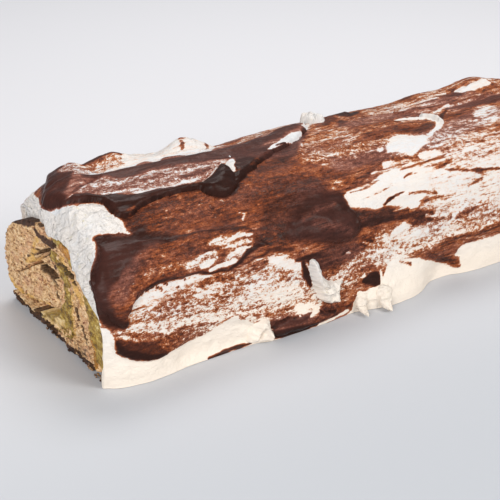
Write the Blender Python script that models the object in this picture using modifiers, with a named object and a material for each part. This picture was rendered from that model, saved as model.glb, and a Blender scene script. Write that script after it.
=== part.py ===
"""A yule log cake: a rolled sponge with custard, under a thick coat of whipped cream smeared with chocolate.

Metres, +Z up.  The log lies along X with its near cut end at -X, its front side at -Y and its flat base
on z = 0; the origin is the centre of the base of its bounding box.  Shapes are drawn in millimetres about
the middle of the plain log.  A place on the coat is (along, around): along from the near end, and around
from the front foot, over the top, to the back foot.
"""

import math
from bisect import bisect_right

import bmesh
import bpy
from mathutils import Vector
from mathutils.geometry import delaunay_2d_cdt

MM = 0.001

# Driving dimensions, in mm
LENGTH = 300
WIDTH = 104
HEIGHT = 66  # top of the plain cream, without crests and chocolate
SHOULDER = 20  # height at which the upright foot turns into the rounded top
ROUNDNESS = 2.4  # superellipse power of the rounded top
GAP = 0.4  # clearance between the pieces of the roll and the cream
PATCH_GAP = 0.5  # clearance between the cream and what lies on it
FACE_INSET = 1  # how far the cut roll lies behind the rims of cream around it

# Fineness of the solids
SECTION_STEPS = 720  # steps of the fine line along which the section is measured
END_STEPS = (0, 1, 3, 6, 10)  # steps of the coat at its rounded ends
STATIONS = 42  # even steps of the coat between them
GIRTH_STEPS = 36  # steps of the coat around the log
CURVE_STEPS = 3  # steps between two points of a drawn outline
PATCH_CURVE_STEPS = 12  # the same for the outline of a patch, before it is cut into even steps
RIM_STEP = 5.0  # step along the rim of a patch of chocolate or cream
RIM_SLOPE = 2.0  # width of the slope down to that rim
SLOPE_CLEARANCE = 1.6  # least distance from the rim to the points at the top of the slope
INNER_CLEARANCE = 3.2  # least distance from the rim to the points inside that
SHARP_ANGLE = 40  # edges sharper than this many degrees are shaded sharp

# The cream's uneven surface: (along, around, reach along, reach around, height)
CRESTS = (
    (6, 139, 9, 15, -5.0),
    (15, 110, 7, 15, 4.5),
    (46, 119, 17, 9, 5.0),
    (76, 118, 11, 8, 6.5),
    (106, 118, 11, 10, -2.5),
    (182, 116, 22, 12, 1.5),
    (220, 116, 14, 10, 4.5),
    (254, 115, 18, 12, 7.0),
    (60, 165, 30, 16, 2.0),
    (160, 158, 36, 12, 2.5),
    (245, 170, 24, 14, 2.0),
    (103, 48, 18, 12, 1.2),
    (150, 52, 22, 9, 1.5),
    (205, 60, 30, 10, 2.0),
    (42, 66, 30, 6, -1.2),
)
# Long low swells over the whole coat: (height, length along, length around) of each wave
SWELLS = ((0.5, 17, 23), (0.4, 41, -15))
END_ROUNDING = 5.5  # how deep the cream's edge is rounded at a cut end
END_REACH = 8.0  # the length of that rounding
THINNEST = 1.2  # the least thickness of cream over the roll
# How far the front foot stands out from the plain section: (along, distance)
FOOT_LINE = (
    (0, -1), (9, 0), (18, 1.5), (28, 0), (38, -3.8), (60, -3), (72, -1), (76, 2.5), (105, 2.5),
    (121, 1), (143, 6), (157, 5.5), (180, -5), (190, 0), (200, 1.5), (240, 0), (268, 2.5), (300, 0),
)
FOOT_REACH = 13  # how far up the side the foot's line is felt
# How far the cream draws back from the near cut: (around, distance)
NEAR_RECESS = ((0, 0), (100, 0), (112, 3), (140, 5), (165, 9), (200, 10))
RECESS_REACH = 40  # over what length along the log the recess dies away

# Outlines of the roll, (y, z), seen from the near end.  The sponge sheet starts beside the slit in the
# middle, winds clockwise as seen from there, and ends tucked flat under the roll.
SPONGE_SHEET = (
    (6, 34), (0, 35), (-7, 34), (-9.5, 32), (-4, 30.2), (4, 29.6), (11, 29.8), (17, 28), (26, 22.5),
    (36, 17.2), (36.4, 17.8), (27, 23.5), (18, 30), (12, 37), (3, 42.8), (-6, 43.6), (-13, 41.5),
    (-18, 36), (-20, 28), (-19.5, 20), (-19.5, 12), (-17, 7.5), (-8, 4.8), (10, 3.8), (28, 4.4),
    (42, 4.8), (46, 3), (42, 0.6), (30, 0), (0, 0), (-26, 0), (-34, 0.8), (-37.5, 6), (-37, 13),
    (-35.5, 20), (-34, 28), (-30, 36), (-23, 43), (-12, 47), (2, 49), (12, 50), (24, 47.2), (35, 42.4),
    (43.5, 36), (48.3, 28), (50, 20), (48.5, 12.5), (44, 8), (37, 7), (28, 9), (15, 12), (3, 14.5),
    (-6, 17.8), (-11, 22), (-13, 28), (-11.5, 34), (-5, 38), (3, 38.6), (8.5, 36.5), (9, 34.4),
)
CUSTARD_INSIDE = (
    (-4, 43.1), (-12.5, 41), (-17.4, 35.8), (-19.4, 28), (-18.9, 20), (-18.9, 12.2), (-16.4, 8),
    (-8, 5.4), (2, 4.8), (11, 4.4), (16, 5.2), (12, 7.4), (2, 9.6), (-5, 12.6), (-7.5, 17.2),
    (-11.7, 21.8), (-13.6, 28), (-12.1, 34.4), (-5.4, 38.6), (0, 40.6),
)
CUSTARD_OUTSIDE = (
    (13, 51.6), (4, 52), (-12, 53), (-25, 52), (-33.5, 45.5), (-40.5, 37.5), (-46, 29), (-48, 20),
    (-46.8, 11), (-43.4, 5), (-39.6, 4), (-38.2, 6.2), (-37.6, 13), (-36.1, 20), (-34.6, 28.2),
    (-30.5, 36.5), (-23.3, 43.6), (-12.1, 47.6), (2, 49.6), (12, 50.6),
)
ROLL_CENTRE = (0, 22)  # the place in the roll from which the coat's section and its hollow are matched
# The hollow in the cream that holds the roll; its lower corners pass through the base
ROLL_HOLLOW = (
    (40, -4), (47.5, -2.5), (50, 8), (51, 20), (49.2, 28.4), (44.2, 36.8), (35.4, 43.4),
    (24.4, 48.2), (13.5, 52.4), (4, 52.8), (-12, 53.8), (-25.3, 52.7), (-34.1, 46), (-41.2, 37.9),
    (-46.8, 29.2), (-48.8, 20), (-47.6, 11), (-45, 4), (-43.8, -2.5), (-37, -4), (0, -4),
)

# Chocolate over the cream: name -> (thickness, outline of (along, around))
CHOCOLATE = {
    "chocolate_top_slab": (2.6, (
        (3, 97), (7, 91.5), (12, 87), (18, 83), (21, 76), (30, 74.5), (48, 75), (60, 75.5), (65, 71.5),
        (71, 69), (77, 71), (82, 76.5), (91, 80.5), (100, 85), (107, 89.5), (111, 95), (118, 99.5),
        (128, 103), (136, 105), (142, 111), (134, 111.5), (118, 108.5), (100, 107.5), (84, 106.5),
        (64, 108), (44, 109), (30, 113), (22, 119), (16, 125), (11, 120), (6, 109))),
    "chocolate_near_lobe": (2.8, (
        (9, 65), (5, 60), (2.8, 53), (2, 44), (3, 34), (7, 26.5), (12, 24), (17, 27), (20, 33),
        (28, 38.5), (40, 41), (52, 39), (61, 38.5), (68, 42), (75, 45.5), (72, 53), (56, 56),
        (40, 57.5), (28, 62), (19, 66))),
    "chocolate_pool": (3.2, (
        (80, 46), (78, 55), (84, 62), (94, 68), (108, 71), (118, 69), (121, 61), (121, 54), (124, 47.5),
        (129, 42.5), (127, 37), (119, 35), (111, 37), (101, 40.5), (92, 39.5), (84, 41.5))),
    "chocolate_corner_lip": (2.4, (
        (4.5, 22), (6.5, 16.5), (13, 11), (22, 8.5), (31, 9.5), (38, 12.5), (36, 17), (24, 20), (12, 23))),
    "chocolate_foot_lip": (2.4, (
        (81, 2.5), (80, 7.5), (88, 12), (100, 12), (104, 7.5), (112, 5.5), (108, 2.5), (96, 2))),
    "chocolate_panel": (1.4, (
        (119, 78), (122, 87), (130, 93), (142, 99), (158, 100), (176, 98), (192, 94), (194, 87),
        (180, 83), (160, 84), (150, 78), (136, 75))),
    "chocolate_side_smear": (1.2, (
        (166, 22), (170, 17), (179, 10.5), (187, 9.5), (188, 14), (198, 16), (220, 15), (246, 19),
        (272, 22), (270, 27), (240, 25), (210, 23), (186, 24))),
    "chocolate_far_ridge": (2.2, (
        (190, 104), (204, 100), (224, 98), (246, 97), (268, 100), (286, 105), (284, 112), (262, 111),
        (240, 108), (212, 109))),
    "chocolate_far_pool": (2.0, (
        (232, 66), (246, 60), (264, 58), (282, 62), (290, 72), (284, 82), (268, 84), (250, 79),
        (238, 74))),
    "chocolate_back_slab": (2.4, (
        (34, 154), (48, 149), (74, 151), (98, 148), (118, 153), (112, 164), (92, 173), (72, 179),
        (50, 174), (38, 166))),
    "chocolate_back_smear": (1.8, (
        (140, 146), (164, 142), (196, 145), (226, 151), (252, 160), (248, 170), (220, 168),
        (188, 162), (158, 160))),
}
CHOCOLATE_RIM = 0.45  # thickness of a patch's rim as a share of its full thickness

# Peaks of cream standing on the coat: name -> (height, outline of (along, around))
CREAM_PEAKS = {
    "cream_peak_side": (6.5, (
        (97, 32), (98, 27), (101, 20), (105, 12.5), (109, 8.5), (114, 8.5), (117.5, 12), (115, 18),
        (108, 24), (102, 31))),
    "cream_curl_foot": (4.0, (
        (68, 2), (69, 7), (72, 11.5), (75.5, 13), (77.5, 9), (78, 3))),
    "cream_drip_left": (9.0, (
        (120.5, 0.8), (119.5, 4), (119.5, 8), (123, 11), (127, 9), (127.5, 4), (126, 0.8))),
    "cream_drip_right": (8.0, (
        (131, 0.8), (130, 5), (131, 9.5), (135.5, 12), (140, 9), (140.5, 4), (138.5, 0.8))),
    "cream_peak_top": (4.5, (
        (148, 117), (150, 112), (154, 111), (157, 115), (155, 120), (151, 121))),
    "cream_peak_far": (4.0, (
        (198, 93), (201, 84), (206, 82), (208, 88), (206, 94), (201, 97))),
}
PEAK_RIM = 0.2  # thickness of a cream peak's rim as a share of its height
PEAK_SLOPE = 0.8  # width of a cream peak's slope as a share of its height

# Material colours and roughness
FINISHES = {
    "cream": ((0.90, 0.87, 0.81), 0.55),
    "chocolate": ((0.075, 0.030, 0.020), 0.30),
    "sponge": ((0.62, 0.42, 0.23), 0.90),
    "custard": ((0.50, 0.38, 0.08), 0.45),
}


def clear_scene():
    for obj in list(bpy.data.objects):
        bpy.data.objects.remove(obj, do_unlink=True)


def make_material(name):
    colour, roughness = FINISHES[name]
    made = bpy.data.materials.new(name)
    made.use_nodes = True
    shader = made.node_tree.nodes["Principled BSDF"]
    shader.inputs["Base Color"].default_value = (*colour, 1)
    shader.inputs["Roughness"].default_value = roughness
    return made


def add_mesh_object(name, shape, material, collection):
    """Turns a finished bmesh into one named object."""
    mesh = bpy.data.meshes.new(name)
    shape.to_mesh(mesh)
    shape.free()
    mesh.materials.append(material)
    mesh.shade_smooth()
    mesh.set_sharp_from_angle(angle=math.radians(SHARP_ANGLE))
    obj = bpy.data.objects.new(name, mesh)
    collection.objects.link(obj)
    return obj


def smooth_loop(points, steps=CURVE_STEPS):
    """A closed Catmull-Rom curve through the points."""
    count = len(points)
    loop = []
    for i in range(count):
        p0, p1, p2, p3 = (Vector(points[(i + k) % count]) for k in (-1, 0, 1, 2))
        for j in range(steps):
            t = j / steps
            bend = (2 * p0 - 5 * p1 + 4 * p2 - p3) * t**2 + (3 * p1 - p0 - 3 * p2 + p3) * t**3
            loop.append(0.5 * (2 * p1 + (p2 - p0) * t + bend))
    return loop


def eased_value(rows, at):
    """The value at a place in a list of (place, value) rows, eased from each row to the next."""
    for (a, low), (b, high) in zip(rows, rows[1:]):
        if at <= b:
            t = max(0.0, (at - a) / (b - a))
            return low + (high - low) * t * t * (3 - 2 * t)
    return rows[-1][1]


def bump(distance):
    return math.exp(-distance * distance)


# The coat's plain section, from the front foot over the top to the back foot


def section_line():
    """Closely spaced (y, z) points of the section, and how far around each of them lies."""
    points = [Vector((-WIDTH / 2, 0))]
    for i in range(SECTION_STEPS + 1):
        angle = math.pi * i / SECTION_STEPS
        across = math.copysign(abs(math.cos(angle)) ** (2 / ROUNDNESS), math.cos(angle))
        up = abs(math.sin(angle)) ** (2 / ROUNDNESS)
        points.append(Vector((-across * WIDTH / 2, SHOULDER + up * (HEIGHT - SHOULDER))))
    points.append(Vector((WIDTH / 2, 0)))
    around = [0.0]
    for a, b in zip(points, points[1:]):
        around.append(around[-1] + (b - a).length)
    return points, around


SECTION, SECTION_AROUND = section_line()
GIRTH = SECTION_AROUND[-1]


def section_at(around):
    """The plain section's (y, z) point and outward normal at a distance around."""
    around = min(max(around, 0.0), GIRTH)
    low, high = 0, len(SECTION) - 1
    while high - low > 1:
        middle = (low + high) // 2
        if SECTION_AROUND[middle] <= around:
            low = middle
        else:
            high = middle
    step = SECTION[high] - SECTION[low]
    share = (around - SECTION_AROUND[low]) / (SECTION_AROUND[high] - SECTION_AROUND[low])
    return SECTION[low] + step * share, Vector((-step.y, step.x)).normalized()


HOLLOW = smooth_loop(ROLL_HOLLOW)


def hollow_point(target):
    """The point of the roll's hollow towards which a point of the outer section looks."""
    centre = Vector(ROLL_CENTRE)
    direction = (target - centre).normalized()
    for a, b in zip(HOLLOW, HOLLOW[1:] + HOLLOW[:1]):
        edge = b - a
        cross = direction.x * edge.y - direction.y * edge.x
        if abs(cross) < 1e-9:
            continue
        to_a = a - centre
        reach = (to_a.x * edge.y - to_a.y * edge.x) / cross
        share = (to_a.x * direction.y - to_a.y * direction.x) / cross
        if reach > 0 and 0 <= share <= 1:
            return centre + direction * reach
    return target


def relief(along, around):
    """Height of the cream above its plain section."""
    height = 0.0
    for at_along, at_around, reach_along, reach_around, crest in CRESTS:
        height += crest * bump((along - at_along) / reach_along) * bump((around - at_around) / reach_around)
    to_end = min(1.0, min(along, LENGTH - along) / END_REACH)
    height -= END_ROUNDING * (1 - math.sqrt(1 - (1 - to_end) ** 2))
    height += eased_value(FOOT_LINE, along) * bump(around / FOOT_REACH)
    height += eased_value(FOOT_LINE, LENGTH - along) * bump((GIRTH - around) / FOOT_REACH)
    for swell, length_along, length_around in SWELLS:
        height += swell * math.sin(along / length_along + around / length_around)
    return height


def coat_point(along, around):
    """A point of the coat's outer surface and its outward normal, in mm."""
    plain, normal = section_at(around)
    least = (hollow_point(plain) - plain).dot(normal) + THINNEST
    point = plain + normal * max(relief(along, around), least)
    recess = eased_value(NEAR_RECESS, around) * max(0.0, 1 - along / RECESS_REACH) ** 2
    position = Vector((along - LENGTH / 2 + recess, point.x, max(point.y, 0.0)))
    return position, Vector((0, normal.x, normal.y))


def along_lines():
    first, last = END_STEPS[-1], LENGTH - END_STEPS[-1]
    even = [first + (last - first) * i / STATIONS for i in range(1, STATIONS)]
    return [*END_STEPS, *even, *(LENGTH - step for step in reversed(END_STEPS))]


ALONG_LINES = along_lines()
AROUND_LINES = [GIRTH * j / GIRTH_STEPS for j in range(GIRTH_STEPS + 1)]
COAT_GRID = [[coat_point(a, s) for s in AROUND_LINES] for a in ALONG_LINES]


def over_coat(along, around, height):
    """A point over the coat's facets, in mm."""
    i = min(bisect_right(ALONG_LINES, along), len(ALONG_LINES) - 1) - 1
    j = min(bisect_right(AROUND_LINES, around), len(AROUND_LINES) - 1) - 1
    u = (along - ALONG_LINES[i]) / (ALONG_LINES[i + 1] - ALONG_LINES[i])
    v = (around - AROUND_LINES[j]) / (AROUND_LINES[j + 1] - AROUND_LINES[j])
    point, normal = Vector(), Vector()
    for di, share_along in ((0, 1 - u), (1, u)):
        for dj, share_around in ((0, 1 - v), (1, v)):
            corner, outward = COAT_GRID[i + di][j + dj]
            point += corner * share_along * share_around
            normal += outward * share_along * share_around
    return point + normal.normalized() * height


def build_coat(material, collection):
    """The cream arch: a wavy outer skin, a plain hollow for the roll, and two flat feet."""
    shape = bmesh.new()
    outer = [[shape.verts.new(point * MM) for point, _ in row] for row in COAT_GRID]
    inner_ends = []
    for row in (COAT_GRID[0], COAT_GRID[-1]):
        ring = []
        for (point, _), (plain, _) in zip(row, (section_at(s) for s in AROUND_LINES)):
            inside = hollow_point(plain)
            ring.append(shape.verts.new(Vector((point.x, inside.x, max(inside.y, 0.0))) * MM))
        inner_ends.append(ring)
    near, far = inner_ends
    for i in range(len(outer) - 1):
        for j in range(GIRTH_STEPS):
            shape.faces.new((outer[i][j], outer[i][j + 1], outer[i + 1][j + 1], outer[i + 1][j]))
    for j in range(GIRTH_STEPS):
        shape.faces.new((near[j], far[j], far[j + 1], near[j + 1]))
        shape.faces.new((outer[0][j + 1], outer[0][j], near[j], near[j + 1]))
        shape.faces.new((outer[-1][j], outer[-1][j + 1], far[j + 1], far[j]))
    shape.faces.new([row[0] for row in outer] + [far[0], near[0]])
    shape.faces.new([row[-1] for row in outer][::-1] + [near[-1], far[-1]])
    bmesh.ops.triangulate(shape, faces=shape.faces, ngon_method="EAR_CLIP")
    bmesh.ops.recalc_face_normals(shape, faces=shape.faces)
    return add_mesh_object("cream_coat", shape, material, collection)


# The roll inside the coat


def build_extrusion(name, outline, material, collection):
    """A solid with a (y, z) outline, running along the log."""
    curve = bpy.data.curves.new(name, "CURVE")
    curve.dimensions = "2D"
    curve.fill_mode = "BOTH"
    curve.extrude = (LENGTH / 2 - FACE_INSET) * MM
    loop = smooth_loop(outline)
    spline = curve.splines.new("POLY")
    spline.points.add(len(loop) - 1)
    spline.use_cyclic_u = True
    for point, place in zip(spline.points, loop):
        point.co = (place.x * MM, max(place.y, 0.0) * MM, 0, 1)
    curve.materials.append(material)
    obj = bpy.data.objects.new(name, curve)
    obj.rotation_euler = (math.pi / 2, 0, math.pi / 2)
    collection.objects.link(obj)
    return obj


# Patches of chocolate and cream on the coat


def even_loop(points, step):
    """The smooth loop through the points, cut into even steps."""
    loop = smooth_loop(points, PATCH_CURVE_STEPS)
    loop.append(loop[0])
    length = sum((b - a).length for a, b in zip(loop, loop[1:]))
    count = max(8, round(length / step))
    even, walked, target = [], 0.0, 0.0
    for a, b in zip(loop, loop[1:]):
        piece = (b - a).length
        while len(even) < count and target <= walked + piece:
            even.append(a + (b - a) * ((target - walked) / piece if piece else 0))
            target += length / count
        walked += piece
    return even


def is_inside(place, loop):
    inside = False
    for a, b in zip(loop, loop[1:] + loop[:1]):
        if (a.y > place.y) != (b.y > place.y):
            if place.x < a.x + (b.x - a.x) * (place.y - a.y) / (b.y - a.y):
                inside = not inside
    return inside


def rim_distance(place, loop):
    best = math.inf
    for a, b in zip(loop, loop[1:] + loop[:1]):
        edge = b - a
        t = max(0.0, min(1.0, (place - a).dot(edge) / edge.length_squared))
        best = min(best, (place - a - edge * t).length)
    return best


def slope_ring(rim):
    """Points just inside the rim, at the top of the slope that rounds it."""
    ring = []
    for i, place in enumerate(rim):
        side = rim[(i + 1) % len(rim)] - rim[i - 1]
        for normal in (Vector((-side.y, side.x)), Vector((side.y, -side.x))):
            inner = place + normal.normalized() * RIM_SLOPE
            if is_inside(inner, rim) and rim_distance(inner, rim) > SLOPE_CLEARANCE:
                ring.append(inner)
    return ring


def build_patch(name, outline, thickness, rim_share, rise, material, collection):
    """A patch on the coat, thickened outwards from its underside; it rises over a distance from its rim."""
    rim = even_loop(outline, RIM_STEP)
    places = rim + slope_ring(rim)
    for along in ALONG_LINES:
        for around in AROUND_LINES:
            place = Vector((along, around))
            if is_inside(place, rim) and rim_distance(place, rim) > INNER_CLEARANCE:
                places.append(place)
    flat = delaunay_2d_cdt(places, [], [list(range(len(rim)))], 1, 1e-4)
    shape = bmesh.new()
    verts = [shape.verts.new(over_coat(p.x, p.y, PATCH_GAP) * MM) for p in flat[0]]
    for corners in flat[2]:
        shape.faces.new([verts[k] for k in corners])
    shape.normal_update()
    outward = sum(face.normal.dot(face.calc_center_median()) for face in shape.faces)
    if outward < 0:
        bmesh.ops.reverse_faces(shape, faces=shape.faces)
    obj = add_mesh_object(name, shape, material, collection)
    weights = obj.vertex_groups.new(name="thickness")
    for index, place in enumerate(flat[0]):
        t = min(1.0, rim_distance(place, rim) / rise)
        weights.add([index], rim_share + (1 - rim_share) * t * (2 - t), "REPLACE")
    thicken = obj.modifiers.new("thickness", "SOLIDIFY")
    thicken.thickness = thickness * MM
    thicken.offset = 1
    thicken.vertex_group = "thickness"
    return obj


def centre_on_origin(collection):
    """Hangs every piece on one empty, moved sideways so that the log's box is centred on the origin."""
    graph = bpy.context.evaluated_depsgraph_get()
    sides = []
    for obj in collection.objects:
        mesh = bpy.data.meshes.new_from_object(obj.evaluated_get(graph))
        sides += [(obj.matrix_world @ vertex.co).y for vertex in mesh.vertices]
        bpy.data.meshes.remove(mesh)
    middle = (min(sides) + max(sides)) / 2
    base = bpy.data.objects.new("log_base", None)
    for obj in collection.objects:
        obj.parent = base
    collection.objects.link(base)
    base.location.y = -middle
    bpy.context.view_layer.update()


def main():
    clear_scene()
    collection = bpy.data.collections.new("yule_log_cake")
    bpy.context.scene.collection.children.link(collection)
    materials = {name: make_material(name) for name in FINISHES}
    build_coat(materials["cream"], collection)
    build_extrusion("sponge_roll", SPONGE_SHEET, materials["sponge"], collection)
    build_extrusion("custard_inside", CUSTARD_INSIDE, materials["custard"], collection)
    build_extrusion("custard_outside", CUSTARD_OUTSIDE, materials["custard"], collection)
    for name, (thickness, outline) in CHOCOLATE.items():
        build_patch(name, outline, thickness, CHOCOLATE_RIM, RIM_SLOPE, materials["chocolate"], collection)
    for name, (height, outline) in CREAM_PEAKS.items():
        build_patch(name, outline, height, PEAK_RIM, PEAK_SLOPE * height, materials["cream"], collection)
    centre_on_origin(collection)


main()
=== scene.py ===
"""The look of the yule log cake: whipped cream smeared with chocolate, over a rolled sponge with custard.

Lengths are in mm until a mesh is made.  A place on the coat is (along, around): along from the near end,
and around from the front foot, over the top, to the back foot.
"""

import math

import bmesh
import bpy
import numpy as np
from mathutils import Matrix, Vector
from mathutils.bvhtree import BVHTree
from mathutils.geometry import delaunay_2d_cdt


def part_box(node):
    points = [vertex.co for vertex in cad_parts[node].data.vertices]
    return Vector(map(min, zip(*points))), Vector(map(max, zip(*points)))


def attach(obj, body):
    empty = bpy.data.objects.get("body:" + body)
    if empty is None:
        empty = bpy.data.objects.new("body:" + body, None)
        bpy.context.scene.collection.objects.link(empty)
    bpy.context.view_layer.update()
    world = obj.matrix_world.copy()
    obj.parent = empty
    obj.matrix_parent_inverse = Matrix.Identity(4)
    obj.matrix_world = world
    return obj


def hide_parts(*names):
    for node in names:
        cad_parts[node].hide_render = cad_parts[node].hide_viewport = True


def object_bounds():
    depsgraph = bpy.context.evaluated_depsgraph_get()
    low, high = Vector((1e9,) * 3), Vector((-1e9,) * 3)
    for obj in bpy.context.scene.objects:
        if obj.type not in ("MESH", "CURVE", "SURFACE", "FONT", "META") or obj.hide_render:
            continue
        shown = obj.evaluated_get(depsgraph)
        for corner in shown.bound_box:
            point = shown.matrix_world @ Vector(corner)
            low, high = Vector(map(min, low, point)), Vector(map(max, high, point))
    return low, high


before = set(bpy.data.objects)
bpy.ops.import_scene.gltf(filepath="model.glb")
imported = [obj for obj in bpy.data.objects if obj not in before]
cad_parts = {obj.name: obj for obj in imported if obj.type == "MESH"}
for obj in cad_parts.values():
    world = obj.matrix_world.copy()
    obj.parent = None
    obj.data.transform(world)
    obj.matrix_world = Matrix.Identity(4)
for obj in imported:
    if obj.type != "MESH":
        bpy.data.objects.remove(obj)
CAD_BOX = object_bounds()
MM = 0.001

# The log: its length, and its plain section of upright sides under a dome
LENGTH, WIDTH, HEIGHT, SHOULDER, ROUNDNESS = 300.0, 104.0, 66.0, 20.0, 2.4
ROLL_HALF_WIDTH = 50.0
NEAR_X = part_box("cream_coat")[0].x / MM
AXIS_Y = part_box("sponge_roll")[1].y / MM - ROLL_HALF_WIDTH
FACE_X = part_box("sponge_roll")[0].x / MM
FACE_CENTRE = np.array([0.0, 22.0])  # (y, z) of the middle of a cut face, about the log's axis
# How far the coat's near edge stands back from the near end: (around, distance), and where that ends along
NEAR_RECESS = ((0, 0), (100, 0), (112, 3), (140, 5), (165, 9), (200, 10))
RECESS_REACH = 40.0


# Random but repeatable unevenness


def lattice(i, j, seed):
    """A random value from -1 to 1 for each whole place."""
    n = (i * 374761393 + j * 668265263 + seed * 1442695041) & 0xFFFFFFFF
    n = ((n ^ (n >> 13)) * 1274126177) & 0xFFFFFFFF
    return ((n ^ (n >> 16)) & 0xFFFF) / 32767.5 - 1


def noise(a, b, seed):
    """Smooth noise from -1 to 1 over two coordinates."""
    i, j = np.floor(a).astype(np.int64), np.floor(b).astype(np.int64)
    x, y = a - i, b - j
    x, y = (t * t * t * (t * (t * 6 - 15) + 10) for t in (x, y))
    low = lattice(i, j, seed) * (1 - x) + lattice(i + 1, j, seed) * x
    high = lattice(i, j + 1, seed) * (1 - x) + lattice(i + 1, j + 1, seed) * x
    return low * (1 - y) + high * y


def layered(a, b, seed, layers=4):
    """Noise with ever finer and weaker layers added."""
    total, most = 0.0, 0.0
    for k in range(layers):
        total = total + noise(a * 2**k + 17.3 * k, b * 2**k - 9.1 * k, seed + k) / 2**k
        most += 1 / 2**k
    return total / most * 1.4


def eased(t):
    """A smooth step from 0 to 1."""
    t = np.clip(t, 0, 1)
    return t * t * (3 - 2 * t)


# Distances to drawn strokes and outlines


def smooth_loop(points, steps=4):
    """A closed smooth curve through the points."""
    p = np.array(points, float)
    before, after, beyond = np.roll(p, 1, 0), np.roll(p, -1, 0), np.roll(p, -2, 0)
    t = (np.arange(steps) / steps)[None, :, None]
    p0, p1, p2, p3 = (q[:, None, :] for q in (before, p, after, beyond))
    bend = (2 * p0 - 5 * p1 + 4 * p2 - p3) * t**2 + (3 * p1 - p0 - 3 * p2 + p3) * t**3
    return (0.5 * (2 * p1 + (p2 - p0) * t + bend)).reshape(-1, 2)


def outline_depth(a, b, loop):
    """How deep places lie inside a closed loop; negative outside it."""
    nearest = np.full(a.shape, np.inf)
    inside = np.zeros(a.shape, bool)
    for (ax, ay), (bx, by) in zip(loop, np.roll(loop, -1, 0)):
        ex, ey = bx - ax, by - ay
        t = np.clip(((a - ax) * ex + (b - ay) * ey) / max(ex * ex + ey * ey, 1e-9), 0, 1)
        nearest = np.minimum(nearest, (a - ax - t * ex) ** 2 + (b - ay - t * ey) ** 2)
        if ay != by:
            inside ^= ((ay > b) != (by > b)) & (a < ax + (b - ay) * ex / ey)
    return np.where(inside, 1, -1) * np.sqrt(nearest)


def stroke_depth(a, b, places):
    """How deep places lie inside a stroke of (a, b, half width) points."""
    deepest = np.full(a.shape, -np.inf)
    for first, last in zip(places, places[1:] or places):
        ex, ey = last[0] - first[0], last[1] - first[1]
        t = np.clip(((a - first[0]) * ex + (b - first[1]) * ey) / max(ex * ex + ey * ey, 1e-9), 0, 1)
        away = np.hypot(a - first[0] - t * ex, b - first[1] - t * ey)
        deepest = np.maximum(deepest, first[2] + (last[2] - first[2]) * t - away)
    return deepest


def depth_in(a, b, places):
    """How deep places lie inside an outline of (a, b) points or a stroke of (a, b, half width) points."""
    if len(places[0]) == 2:
        return outline_depth(a, b, smooth_loop(places))
    return stroke_depth(a, b, places)


def mask(a, b, places, feather):
    """1 inside a drawn area or stroke, falling to 0 across its rim."""
    return eased(depth_in(a, b, places) / feather + 0.5)


def shares(rows, a, b):
    """The greatest share that any of the drawn areas gives each place."""
    total = np.zeros(a.shape)
    for amount, feather, places in rows:
        total = np.maximum(total, amount * mask(a, b, places, feather))
    return total


def creased(a, b, rows):
    """The height of rounded ridges, in (height, half width, places) rows; a furrow's height is negative."""
    total = np.zeros(a.shape)
    for height, reach, places in rows:
        away = stroke_depth(a, b, [(*place, 0.0) for place in places])
        total += height * np.exp(-((away / reach) ** 2))
    return total


def warped(along, around):
    """Places that are shifted a little, so that drawn edges wander."""
    return (along + 0.9 * layered(along / 6, around / 3.5, 3, 3),
            around + 0.7 * layered(along / 7, around / 3.5, 9, 3))


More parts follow.
